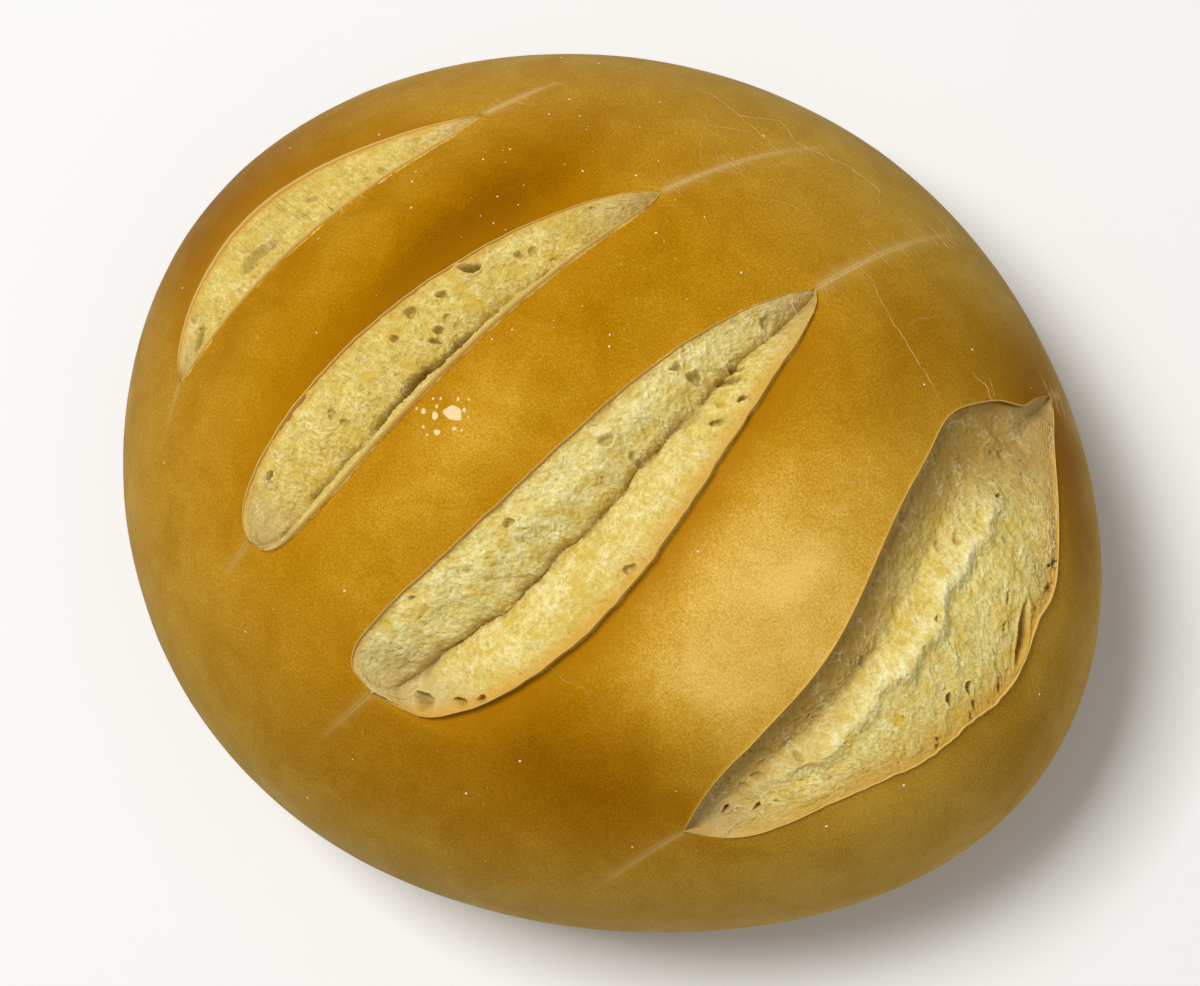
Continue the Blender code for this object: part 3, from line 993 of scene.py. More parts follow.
    def mesh(self) -> bpy.types.Object:
        """Makes the closed shell and cuts its base flat."""
        points, values = self.build()
        rows, columns = points.shape[:2]
        faces = grid_faces(rows, columns, True)
        piece = new_piece("crust", points.reshape(-1, 3), faces.tolist(), {k: v.reshape(-1) for k, v in values.items()})
        shell = bmesh.new()
        shell.from_mesh(piece.data)
        bmesh.ops.remove_doubles(shell, verts=shell.verts[:], dist=1e-6)
        for vert in shell.verts:
            if abs(vert.co.z) < 0.0003:
                vert.co.z = 0.0
        everything = shell.verts[:] + shell.edges[:] + shell.faces[:]
        bmesh.ops.bisect_plane(
            shell, geom=everything, dist=1e-6, plane_co=(0, 0, 0), plane_no=(0, 0, -1), clear_outer=True
        )
        for vert in shell.verts:
            vert.co.z = max(vert.co.z, 0.0)
        bmesh.ops.contextual_create(shell, geom=[edge for edge in shell.edges if edge.is_boundary])
        bmesh.ops.recalc_face_normals(shell, faces=shell.faces[:])
        shell.to_mesh(piece.data)
        shell.free()
        return piece

    def unevenness(self, finish: bpy.types.Material) -> NodeSheet:
        """Builds the tree that lets the crust swell and dimple, always inward from its plain form."""
        sheet = NodeSheet(
            "crust unevenness",
            {
                "Swell size": self.swell_size, "Swell depth": self.swell_depth,
                "Dimple size": self.dimple_size, "Dimple depth": self.dimple_depth,
            },
        )
        tree = sheet.tree
        where = add_node(tree, "GeometryNodeInputPosition")
        total = None
        for label in ("Swell", "Dimple"):
            scale = sheet.math("DIVIDE", 1.0, sheet.size(f"{label} size"))
            noise = add_node(tree, "ShaderNodeTexNoise", {"Vector": where, "Scale": scale, "Detail": 1.0})
            noise = sheet.math("MULTIPLY", sheet.math("SUBTRACT", noise, 0.5), sheet.attribute("calm"))
            part = sheet.math("MULTIPLY", sheet.math("ADD", noise, 0.5), sheet.size(f"{label} depth"))
            total = part if total is None else sheet.math("ADD", total, part)
        sunk = sheet.math("MULTIPLY", total, sheet.math("MULTIPLY", sheet.attribute("firm"), -1.0))
        outward = add_node(tree, "ShaderNodeVectorMath", {0: where}, operation="NORMALIZE")
        offset = add_node(tree, "ShaderNodeVectorMath", {0: outward, "Scale": sunk}, operation="SCALE")
        moved = add_node(tree, "GeometryNodeSetPosition", {"Geometry": sheet.geometry(), "Offset": offset})
        sheet.finish(moved, finish)
        return sheet

    def dress(self, finish: bpy.types.Material) -> bpy.types.Object:
        """Makes the finished crust."""
        return self.unevenness(finish).shape(self.mesh())


@dataclass
class Crumb:
    """The crumb that shows in one slash: a closed slab tucked under both lips, with a torn upper face."""

    form: LoafForm
    slash: Slash
    crust: Crust
    tuck: float = 0.0020
    tuck_columns: int = 5
    thickness: float = 0.0030
    edge_lift: float = 0.00036
    edge_reach: float = 0.0010

    def rows(self) -> np.ndarray:
        """Gives the around angles of the rows, evenly spaced from the near crease to the far one."""
        slash = self.slash
        near = slash.tips[0] + min(2.0, slash.near_crease[1])
        far = slash.tips[1] - min(2.0, slash.far_crease[1])
        middle = self.form.radius(slash.line(np.array([70.0, 90.0, 110.0])), np.array([70.0, 90.0, 110.0])).mean()
        reach = middle * math.cos(math.radians(slash.across)) * math.radians(near - far)
        return np.linspace(near, far, int(reach / self.slash.spacing) + 1)

    def build(self) -> tuple[np.ndarray, dict[str, np.ndarray]]:
        """Works out the upper face of the slab.

        Returns:
            Points by row and column, and the numbers stored on them.
        """
        slash = self.slash
        around = self.rows()[:, None]
        left, right = slash.edges(around)
        share = slash.share(around)
        line = slash.line(around)
        radius = self.form.radius(line, around)
        width = np.radians(right - left) * radius
        open_share = slash.openness(around) ** slash.tip_power
        tuck_left = np.minimum(self.tuck * 0.8 + slash.overhang * slash.openness(around) * 1.6, 0.3 * width + 0.006 * open_share)
        tuck_right = np.minimum(self.tuck * 0.6, 0.3 * width)
        inner = int(width.max() / slash.spacing)
        tucked = np.linspace(1.0, 0.0, self.tuck_columns + 1)[None, :-1]
        inside = np.linspace(0.0, 1.0, inner + 1)[None]
        distance = np.concatenate([-tuck_left * tucked, inside * width, width + tuck_right * tucked[:, ::-1]], axis=1)
        place = distance / width
        across = left + (right - left) * place
        skin = self.form.point(across, around)
        normal = self.form.normal(skin)
        marked = self.form.marked(skin)
        left_dip = self.crust.dip(left, around, radius)
        right_dip = self.crust.dip(right, around, radius)
        sink = left_dip + (right_dip - left_dip) * np.clip(place, 0.0, 1.0)
        hidden = np.maximum(-distance, 0.0) + np.maximum(distance - width, 0.0)
        flush = np.where(place < 0.5, slash.flush[0], slash.flush[1])
        border = np.maximum(np.minimum(distance, width - distance), 0.0)
        lift = flush * self.edge_lift * bell(border, self.edge_reach) * np.minimum(2 * open_share, 1.0)
        slope = 0.3 + 0.4 * flush
        depth = slash.wall_depth(place) * open_share + slash.scar_depth + self.crust.mean_sink() + slope * hidden - lift
        depth = depth + 0.0010 * smooth_step(slash.past_tip(around), 0.5, 2.0)
        ridge = np.sin(0.21 * self.along(skin)) + 0.6 * np.sin(0.53 * self.along(skin) + 1.0)
        fold_line = slash.valley + 0.02 * ridge
        fold = slash.fold * open_share * np.exp(-np.abs(place - fold_line) * width / 0.0007)
        slit, raised = fold, np.zeros(place.shape)
        for soft in slash.ridges:
            middle = soft.place + 0.03 * ridge
            window = smooth_step(share, soft.start - 0.1, soft.start + 0.1)
            window = window * smooth_step(share, soft.end + 0.1, soft.end - 0.1)
            risen = soft.height * window * bell((place - middle) * width, soft.reach)
            depth = depth - risen
            raised = raised + np.maximum(risen, 0.0)
            slit = np.maximum(slit, np.where(soft.reach < 0.001, -risen, 0.0))
        points = skin - normal * (marked * (sink + depth + fold))[..., None]
        along = self.along(skin)
        # Painted shade for the slits of the folds, passed on to the crumb's colour
        pit = np.clip(slit / 0.0015, 0.0, 1.5)
        # Each wall takes its own shift of tone: partly the crumb's own colour, partly painted light that lifts a wall
        # getting less light; the raised ridges are painted lighter, a painted highlight
        pale = slash.pale[0] + (slash.pale[1] - slash.pale[0]) * smooth_step(place, slash.valley - 0.1, slash.valley + 0.1)
        pale = pale + 110.0 * raised
        points, pit = self.cut_pores(points, normal, along, distance, width, pit)
        shown = np.minimum(distance, width - distance)
        free = (0.35 + 0.65 * smooth_step(shown, 0.0, 0.0018)) * smooth_step(shown, -0.0016, 0.0)
        free = free * (0.5 + 0.5 * np.minimum(open_share * 1.5, 1.0))
        toast_left = slash.toast[0] * bell(np.maximum(distance, 0.0), slash.toast_reach[0])
        toast_right = slash.toast[1] * bell(np.maximum(width - distance, 0.0), slash.toast_reach[1])
        toast = np.maximum(toast_left, toast_right) * np.minimum(open_share * 1.5, 1.0)
        shape = distance.shape
        # The crumb under the ear is painted darker: a painted shadow of the ear, with some browning
        reach = 0.012 + 0.017 * smooth_step(share, 0.6, 0.9)
        early = slash.overhang / 0.003 * (1 - smooth_step(distance / reach, 0.25, 1.05))
        film = 1 - smooth_step(share, 0.0, 0.12) * smooth_step(share, 1.0, 0.84)
        membrane = smooth_step(share, 0.76, 0.92) * smooth_step(place, 0.72, 0.90) * (slash.overhang > 0)
        film = np.maximum(film, 0.8 * membrane)
        values = {
            "along": along * np.ones(shape), "across": distance / MM, "free": free * np.ones(shape),
            "toast": toast * np.ones(shape), "cut": pit, "early": early * np.ones(shape),
            "film": film * np.ones(shape), "pale": pale * np.ones(shape),
        }
        return points, values

    def along(self, skin: np.ndarray) -> np.ndarray:
        """Gives the distance along the slash in millimetres, one number a row."""
        middle = skin[:, skin.shape[1] // 2]
        steps = np.linalg.norm(np.diff(middle, axis=0), axis=1)
        return np.concatenate([[0.0], np.cumsum(steps)])[:, None] / MM

    def cut_pores(
        self, points: np.ndarray, normal: np.ndarray, along: np.ndarray, distance: np.ndarray, width: np.ndarray,
        pit: np.ndarray,
    ) -> tuple[np.ndarray, np.ndarray]:
        """Sinks the large pores into the upper face.

        Args:
            points: places of the upper face.
            normal: outward directions there.
            along: distance along the slash, in millimetres.
            distance: distance from the left edge.
            width: width of the slash.
            pit: how much painted shade each place already has.

        Returns:
            The new points, and the painted shade of each place, which grows with how hollow it is.
        """
        around = self.rows()
        share = self.slash.share(around)
        for pore in self.slash.pores:
            row = int(np.argmin(np.abs(share - pore.share)))
            east = (along - along[row]) * MM
            north = distance - pore.place * width[row]
            turn = math.radians(pore.turn)
            long = (east * math.cos(turn) + north * math.sin(turn)) / pore.long
            wide = (north * math.cos(turn) - east * math.sin(turn)) / pore.wide
            far = np.hypot(long, wide) * (1 + 0.10 * np.sin(3 * np.arctan2(wide, long) + 9 * pore.share))
            hollow = 1 - smooth_step(far, 0.55, 1.05)
            raised = 0.12 * bell(far - 1.15, 0.16)
            points = points - normal * (1.4 * pore.deep * (hollow - raised))[..., None]
            pit = np.maximum(pit, hollow)
        return points, pit

    def mesh(self) -> bpy.types.Object:
        """Closes the slab with a bottom and two ends."""
        points, values = self.build()
        rows, columns = points.shape[:2]
        ends = points[:, [0, -1]]
        below = self.slash.depth * self.slash.openness(self.rows()) ** self.slash.tip_power + self.thickness
        bottom = ends - self.form.normal(ends) * below[:, None, None]
        faces = grid_faces(rows, columns, False).tolist()
        first = rows * columns
        for row in range(rows - 1):
            low, high = first + 2 * row, first + 2 * row + 2
            top, above = row * columns, (row + 1) * columns
            faces.append([top, low, high, above])
            faces.append([top + columns - 1, above + columns - 1, high + 1, low + 1])
            faces.append([low, low + 1, high + 1, high])
        for row in (0, rows - 1):
            base = row * columns
            faces.append([base + column for column in range(columns)] + [first + 2 * row + 1, first + 2 * row])
        everything = np.concatenate([points.reshape(-1, 3), bottom.reshape(-1, 3)])
        stored = {
            label: np.concatenate([numbers.reshape(-1), np.zeros(2 * rows)]) for label, numbers in values.items()
        }
        piece = new_piece(f"crumb_{self.slash.name}", everything, faces, stored)
        slab = bmesh.new()
        slab.from_mesh(piece.data)
        bmesh.ops.recalc_face_normals(slab, faces=slab.faces[:])
        slab.to_mesh(piece.data)
        slab.free()
        return piece

    def relief(self, finish: bpy.types.Material) -> NodeSheet:
        """Builds the tree that tears the upper face into lumps, strands and bubbles."""
        sheet = NodeSheet(
            f"{self.slash.name} crumb relief",
            {
                "Lump size": 7.0, "Lump height": 1.5, "Knob size": 1.9, "Knob height": 0.65,
                "Grain size": 0.7, "Grain height": 0.55, "Web size": 1.9, "Web height": 0.08,
                "Strand length": 5.0, "Strand width": 0.6, "Strand height": 0.26, "Pull": self.slash.pull,
                "Bubble spacing": 4.0, "Bubble share": 0.14, "Bubble depth": 0.9,
                "Pit spacing": 1.5, "Pit share": 0.20, "Pit depth": 0.40,
                "Seed": 3.0 + 7.0 * SLASHES.index(self.slash),
            },
        )
        tree = sheet.tree
        flat = add_node(
            tree, "ShaderNodeCombineXYZ",
            {"X": sheet.attribute("along"), "Y": sheet.attribute("across"), "Z": sheet.size("Seed")},
        )
        bend = add_node(tree, "ShaderNodeTexNoise", {"Vector": flat, "Scale": 0.33, "Detail": 2.0}, output="Color")
        centred = add_node(tree, "ShaderNodeVectorMath", {0: bend, 1: (0.5, 0.5, 0.5)}, operation="SUBTRACT")
        warped = add_node(
            tree, "ShaderNodeVectorMath", {0: centred, 1: (3.0, 3.0, 0.0), 2: flat}, operation="MULTIPLY_ADD"
        )
        strands = self.strands(sheet, warped)
        web = self.web(sheet, warped)
        fine = sheet.math("MULTIPLY", strands, sheet.size("Strand height"))
        for label, detail in (("Knob", 1.0), ("Grain", 2.0)):
            part = sheet.math("MULTIPLY", self.noise(sheet, label, warped, detail), sheet.size(f"{label} height"))
            fine = sheet.math("ADD", fine, part)
        height = sheet.math("MULTIPLY", self.noise(sheet, "Lump", warped, 1.0), sheet.size("Lump height"))
        height = sheet.math("ADD", height, sheet.math("MULTIPLY", web, sheet.size("Web height")))
        height = sheet.math("ADD", height, fine)
        bubbles = self.hollows(sheet, "Bubble", warped)
        pits = self.hollows(sheet, "Pit", warped)
        depths = sheet.math("MULTIPLY", bubbles, sheet.size("Bubble depth"))
        depths = sheet.math("ADD", depths, sheet.math("MULTIPLY", pits, sheet.size("Pit depth")))
        free = sheet.attribute("free")
        total = sheet.math("MULTIPLY", sheet.math("SUBTRACT", height, depths), free)
        normal = add_node(tree, "GeometryNodeInputNormal")
        shift = sheet.math("MULTIPLY", total, MM)
        offset = add_node(tree, "ShaderNodeVectorMath", {0: normal, "Scale": shift}, operation="SCALE")
        # How much painted shade the bubbles, pits and slits get in the crumb's colour
        hollow = sheet.math("MAXIMUM", bubbles, sheet.math("MULTIPLY", pits, 0.55))
        hollow = sheet.math("MAXIMUM", sheet.math("MULTIPLY", hollow, free), sheet.attribute("cut"))
        kept = sheet.geometry()
        crest = add_node(tree, "ShaderNodeMapRange", {"Value": fine, "From Min": -0.3, "From Max": 0.45})
        for label, value in (("pit", hollow), ("crest", crest), ("web", sheet.math("MULTIPLY", web, free))):
            kept = add_node(
                tree, "GeometryNodeStoreNamedAttribute", {"Geometry": kept, "Name": label, "Value": value},
                data_type="FLOAT", domain="POINT",
            )
        moved = add_node(tree, "GeometryNodeSetPosition", {"Geometry": kept, "Offset": offset})
        sheet.finish(moved, finish)
        return sheet

    def noise(
        self, sheet: NodeSheet, label: str, vector: bpy.types.NodeSocket, detail: float
    ) -> bpy.types.NodeSocket:
        """Gives a noise around 0 of the size that a named input holds.

        Args:
            sheet: the tree.
            label: first word of the named input.
            vector: socket of the places.
            detail: how many finer layers it has.

        Returns:
            The socket of the noise.
        """
        scale = sheet.math("DIVIDE", 1.0, sheet.size(f"{label} size"))
        values = {"Vector": vector, "Scale": scale, "Detail": detail, "Roughness": 0.6}
        return sheet.math("SUBTRACT", add_node(sheet.tree, "ShaderNodeTexNoise", values), 0.5)

    def strands(self, sheet: NodeSheet, vector: bpy.types.NodeSocket) -> bpy.types.NodeSocket:
        """Gives 1 on strands of gluten drawn out in the direction of the pull, in patches."""
        turn = sheet.math("RADIANS", sheet.size("Pull"))
        turned = add_node(
            sheet.tree, "ShaderNodeVectorRotate", {"Vector": vector, "Angle": turn}, rotation_type="Z_AXIS"
        )
        long = sheet.math("DIVIDE", 1.0, sheet.size("Strand length"))
        wide = sheet.math("DIVIDE", 1.0, sheet.size("Strand width"))
        narrow = add_node(sheet.tree, "ShaderNodeCombineXYZ", {"X": long, "Y": wide, "Z": 1.0})
        drawn = add_node(sheet.tree, "ShaderNodeVectorMath", {0: turned, 1: narrow}, operation="MULTIPLY")
        fine = add_node(sheet.tree, "ShaderNodeTexNoise", {"Vector": drawn, "Scale": 1.0, "Detail": 2.0})
        away = sheet.math("ABSOLUTE", sheet.math("SUBTRACT", fine, 0.5))
        ridge = sheet.math("MAXIMUM", sheet.math("SUBTRACT", 1.0, sheet.math("MULTIPLY", away, 9.0)), 0.0)
        patch = add_node(sheet.tree, "ShaderNodeTexNoise", {"Vector": vector, "Scale": 0.12, "Detail": 1.0})
        patch = add_node(sheet.tree, "ShaderNodeMapRange", {"Value": patch, "From Min": 0.42, "From Max": 0.60})
        return sheet.math("MULTIPLY", ridge, patch)

    def web(self, sheet: NodeSheet, vector: bpy.types.NodeSocket) -> bpy.types.NodeSocket:
        """Gives 1 on the thin walls left between torn bubbles, in patches."""
        scale = sheet.math("DIVIDE", 1.0, sheet.size("Web size"))
        wall = add_node(
            sheet.tree, "ShaderNodeTexVoronoi", {"Vector": vector, "Scale": scale}, feature="DISTANCE_TO_EDGE"
        )
        wall = add_node(
            sheet.tree, "ShaderNodeMapRange",
            {"Value": wall, "From Min": 0.09, "From Max": 0.0},
        )
        patch = add_node(sheet.tree, "ShaderNodeTexNoise", {"Vector": vector, "Scale": 0.21, "Detail": 2.0})
        patch = add_node(sheet.tree, "ShaderNodeMapRange", {"Value": patch, "From Min": 0.50, "From Max": 0.62})
        return sheet.math("MULTIPLY", wall, patch)

    def hollows(self, sheet: NodeSheet, label: str, vector: bpy.types.NodeSocket) -> bpy.types.NodeSocket:
        """Gives 1 in the middle of round hollows scattered over the crumb.

        Args:
            sheet: the tree.
            label: first word of the inputs that hold their spacing and their share.
            vector: socket of the places.

        Returns:
            The socket of the depth as a share.
        """
        scale = sheet.math("DIVIDE", 1.0, sheet.size(f"{label} spacing"))
        distance = add_node(sheet.tree, "ShaderNodeTexVoronoi", {"Vector": vector, "Scale": scale})
        random = add_node(
            sheet.tree, "FunctionNodeSeparateColor", {"Color": distance.node.outputs["Color"]}, output="Red"
        )
        # A cell holds a hollow only where its random number lies under the share, small ones more often
        room = sheet.math("DIVIDE", sheet.math("SUBTRACT", sheet.size(f"{label} share"), random), sheet.size(f"{label} share"))
        reach = sheet.math("MULTIPLY", sheet.math("POWER", sheet.math("MAXIMUM", room, 0.0), 0.5), 0.34)
        inside = sheet.math("DIVIDE", distance, sheet.math("MAXIMUM", reach, 0.001))
        bowl = sheet.math("SUBTRACT", 1.0, sheet.math("POWER", inside, 2.5))
        return sheet.math("MINIMUM", sheet.math("MAXIMUM", bowl, 0.0), 1.0)

    def dress(self, finish: bpy.types.Material) -> bpy.types.Object:
        """Makes the finished crumb of this slash."""
        return self.relief(finish).shape(self.mesh())


@dataclass(frozen=True)
class Hairline:
    """One fine crack or thread: its path over the loaf as around and across angles, and its half thickness."""

    path: tuple[tuple[float, float], ...]
    thick: float = 0.00011


CRACKS = (
    Hairline(((26.3, -11.4), (33.2, -8.8), (37.9, -5.8), (39.8, -3.5))),
    Hairline(
        (
            (25.1, -18.7), (25.6, -12.7), (27.6, -7.2), (23.6, -3.3), (26.3, 2.1), (23.0, 8.2), (22.8, 13.4),
            (25.4, 15.6), (30.7, 16.8), (35.7, 16.2),
        ),
        0.00013,
    ),
    Hairline(((35.4, 23.5), (37.6, 27.7), (38.7, 33.7), (39.2, 38.0), (39.9, 42.6)), 0.00013),
    Hairline(((65.1, 41.6), (61.8, 44.9), (58.9, 47.6), (57.8, 50.1)), 0.00009),
    Hairline(((27.6, -7.2), (29.7, 1.4), (25.1, 3.2)), 0.00010),
    Hairline(((37.1, 31.9), (34.2, 31.9), (31.0, 32.5)), 0.00010),
    Hairline(((31.6, 40.0), (30.6, 42.4), (31.2, 43.9), (30.1, 45.0)), 0.00011),
    Hairline(((29.2, 41.4), (29.9, 43.6)), 0.00009),
    Hairline(((33.0, -8.9), (30.5, -5.6), (29.0, -3.0)), 0.00010),
    Hairline(((40.5, 4.5), (36.8, 8.5), (35.4, 12.6)), 0.00009),
    Hairline(((121.0, 30.5), (121.9, 33.0), (121.2, 36.4), (123.0, 39.0)), 0.00007),
)


@dataclass
class Hairlines:
    """Fine lines laid over a surface: cracks of the drying skin, or threads of torn gluten."""

    name: str
    form: LoafForm
    lines: tuple[Hairline, ...]
    spacing: float = 0.0005
    wander: float = 0.5
    wave: float = 3.0
    height: float = 0.00004

    def guides(self) -> bpy.types.Object:
        """Draws every line as loose edges over the plain skin."""
        points, edges, thick = [], [], []
        for line in self.lines:
            path = np.array(line.path, dtype=float)
            steps = np.linspace(0, len(path) - 1, 4 * len(path))
            around = np.interp(steps, np.arange(len(path)), path[:, 0])
            across = np.interp(steps, np.arange(len(path)), path[:, 1])
            first = len(points)
            points.extend(self.form.point(across, around))
            edges.extend((first + step, first + step + 1) for step in range(len(steps) - 1))
            thick.extend([line.thick] * len(steps))
        return new_piece(self.name, np.array(points), [], {"thick": np.array(thick)}, edges)

    def dress(self, target: bpy.types.Object, finish: bpy.types.Material) -> bpy.types.Object:
        """Turns the guides into thin rounded strands that follow the target.

        Args:
            target: the piece that they lie on.
            finish: their material.

        Returns:
            The strands as one mesh.
        """
        sheet = NodeSheet(
            f"{self.name} strands",
            {"Spacing": self.spacing, "Wander": self.wander, "Wave": self.wave, "Height": self.height},
        )
        tree = sheet.tree
        curve = add_node(tree, "GeometryNodeMeshToCurve", {"Mesh": sheet.geometry()})
        curve = add_node(
            tree, "GeometryNodeResampleCurve", {"Curve": curve, "Length": sheet.size("Spacing")}, mode="LENGTH"
        )
        where = add_node(tree, "GeometryNodeInputPosition")
        scale = sheet.math("DIVIDE", 1000.0, sheet.size("Wave"))
        noise = add_node(
            tree, "ShaderNodeTexNoise", {"Vector": where, "Scale": scale, "Detail": 3.0}, output="Color"
        )
        centred = add_node(tree, "ShaderNodeVectorMath", {0: noise, 1: (0.5, 0.5, 0.5)}, operation="SUBTRACT")
        reach = sheet.math("MULTIPLY", sheet.size("Wander"), 0.004)
        offset = add_node(tree, "ShaderNodeVectorMath", {0: centred, "Scale": reach}, operation="SCALE")
        curve = add_node(tree, "GeometryNodeSetPosition", {"Geometry": curve, "Offset": offset})
        ground = add_node(
            tree, "GeometryNodeObjectInfo", {"Object": target}, output="Geometry", transform_space="RELATIVE"
        )
        nearest = add_node(
            tree, "GeometryNodeProximity", {0: ground, "Sample Position": where}, output="Position",
            target_element="FACES",
        )
        curve = add_node(tree, "GeometryNodeSetPosition", {"Geometry": curve, "Position": nearest})
        along = add_node(tree, "GeometryNodeSplineParameter", output="Factor")
        rest = sheet.math("SUBTRACT", 1.0, along)
        taper = sheet.math("MULTIPLY", sheet.math("MULTIPLY", along, rest), 5.0)
        taper = sheet.math("MINIMUM", sheet.math("ADD", taper, 0.12), 1.0)
        uneven = add_node(tree, "ShaderNodeTexNoise", {"Vector": where, "Scale": 700.0, "Detail": 2.0})
        uneven = add_node(
            tree, "ShaderNodeMapRange",
            {"Value": uneven, "From Min": 0.35, "From Max": 0.65, "To Min": 0.35, "To Max": 1.3},
        )
        thick = sheet.math("MULTIPLY", sheet.math("MULTIPLY", taper, uneven), sheet.attribute("thick"))
        ring = add_node(
            tree, "GeometryNodeCurvePrimitiveCircle", {"Resolution": 6, "Radius": 1.0}, output="Curve"
        )
        tubes = add_node(
            tree, "GeometryNodeCurveToMesh",
            {"Curve": curve, "Profile Curve": ring, "Scale": thick, "Fill Caps": True},
        )
        sheet.finish(tubes, finish)
        return sheet.shape(self.guides())


def torn_threads(
    slash: Slash, shares: tuple[float, float], places: tuple[float, float], count: int, seed: int
) -> tuple[Hairline, ...]:
    """Strews short threads of torn gluten over a part of a slash.

    Args:
        slash: the slash.
        shares: part of its length that they lie in.
        places: part of its width that they lie in.
        count: how many threads.
        seed: fixes the random draw.

    Returns:
        The threads.
    """
    draw = np.random.default_rng(seed)
    threads = []
    for _ in range(count):
        share = draw.uniform(*shares)
        place = draw.uniform(*places)
        heading = draw.normal(0.5 * math.pi, 0.7)
        length = draw.uniform(0.6, 2.4)
        steps = np.linspace(-0.5, 0.5, 5) * length
        around = slash.tips[0] + share * (slash.tips[1] - slash.tips[0]) + steps * math.sin(heading)
        left, right = slash.edges(around)
        across = left + (right - left) * place + steps * math.cos(heading)
        across = np.clip(across, left + 0.12 * (right - left), right - 0.06 * (right - left))
        path = tuple((float(turn), float(lean)) for turn, lean in zip(around, across))
        threads.append(Hairline(path, draw.uniform(0.00004, 0.00008)))
    return tuple(threads)


def stretch_marks(slash: Slash, count: int, seed: int) -> tuple[Hairline, ...]:
    """Draws the short cross lines that stretching left along the far crease of a slash.

    Args:
        slash: the slash.
        count: how many lines.
        seed: fixes the random draw.

    Returns:
        The lines.
    """
    draw = np.random.default_rng(seed)
    marks = []
    for _ in range(count):
        turn = slash.tips[1] - slash.far_crease[1] * draw.uniform(-0.15, 0.95)
        lean = float(slash.line(np.array(turn))) + draw.normal(0.0, 1.2)
        length = draw.uniform(1.5, 5.5)
        slant = draw.normal(0.0, 0.35)
        path = tuple(
            (turn + step * length * (slant + 0.15), lean + step * length * (1 - abs(slant) * 0.3))
            for step in (-0.5, 0.0, 0.5)
        )
        marks.append(Hairline(path, draw.uniform(0.00005, 0.00010)))
    return tuple(marks)


THREAD_ENDS = (
    (((0.02, 0.10), (0.1, 0.9), 3), ((0.88, 0.97), (0.1, 0.9), 5)),
    (((0.01, 0.10), (0.1, 0.9), 6), ((0.82, 0.96), (0.3, 1.0), 16), ((0.1, 0.8), (0.0, 0.6), 10)),
    (((0.01, 0.10), (0.1, 0.9), 10), ((0.84, 0.96), (0.1, 0.9), 12), ((0.12, 0.8), (0.0, 0.9), 14)),
    (((0.01, 0.08), (0.1, 0.9), 6), ((0.82, 0.96), (0.75, 0.98), 40), ((0.2, 0.9), (0.4, 0.7), 12)),
)


@dataclass
class FlourSpecks:
    """Specks of flour that the hands left on the crust, thickest on the upper ridges."""

    density: float = 30000.0
    speck_size: float = 0.00018
    seed: int = 11

    def dress(self, crust: bpy.types.Object, finish: bpy.types.Material) -> bpy.types.Object:
        """Scatters the specks over the crust.

        Args:
            crust: the finished crust, which holds the attribute flour.
            finish: the material of the flour.

        Returns:
            The specks as one mesh.
        """
        sheet = NodeSheet("flour specks", {"Density": self.density, "Speck size": self.speck_size})
        tree = sheet.tree
        ground = add_node(
            tree, "GeometryNodeObjectInfo", {"Object": crust}, output="Geometry", transform_space="RELATIVE"
        )
        amount = sheet.math("MULTIPLY", sheet.attribute("flour"), sheet.size("Density"))
        points = add_node(
            tree, "GeometryNodeDistributePointsOnFaces", {"Mesh": ground, "Density": amount, "Seed": self.seed},
            output="Points",
        )
        speck = add_node(tree, "GeometryNodeMeshIcoSphere", {"Radius": 1.0, "Subdivisions": 1}, output="Mesh")
        random = add_node(
            tree, "FunctionNodeRandomValue", {2: 0.0, 3: 1.0, "Seed": self.seed}, output=1, data_type="FLOAT"
        )
        size = sheet.math("ADD", sheet.math("MULTIPLY", sheet.math("POWER", random, 3.0), 1.5), 0.5)
        size = sheet.math("MULTIPLY", size, sheet.size("Speck size"))
        flat = add_node(tree, "ShaderNodeCombineXYZ", {"X": size, "Y": sheet.math("MULTIPLY", size, 0.8)})
        tree.links.new(sheet.math("MULTIPLY", size, 0.45), flat.node.inputs["Z"])
        grains = add_node(
            tree, "GeometryNodeInstanceOnPoints",
            {"Points": points, "Instance": speck, "Rotation": points.node.outputs["Rotation"], "Scale": flat},
        )
        sheet.finish(grains, finish)
        return sheet.shape(new_piece("flour_specks", np.zeros((1, 3)), [], {}))


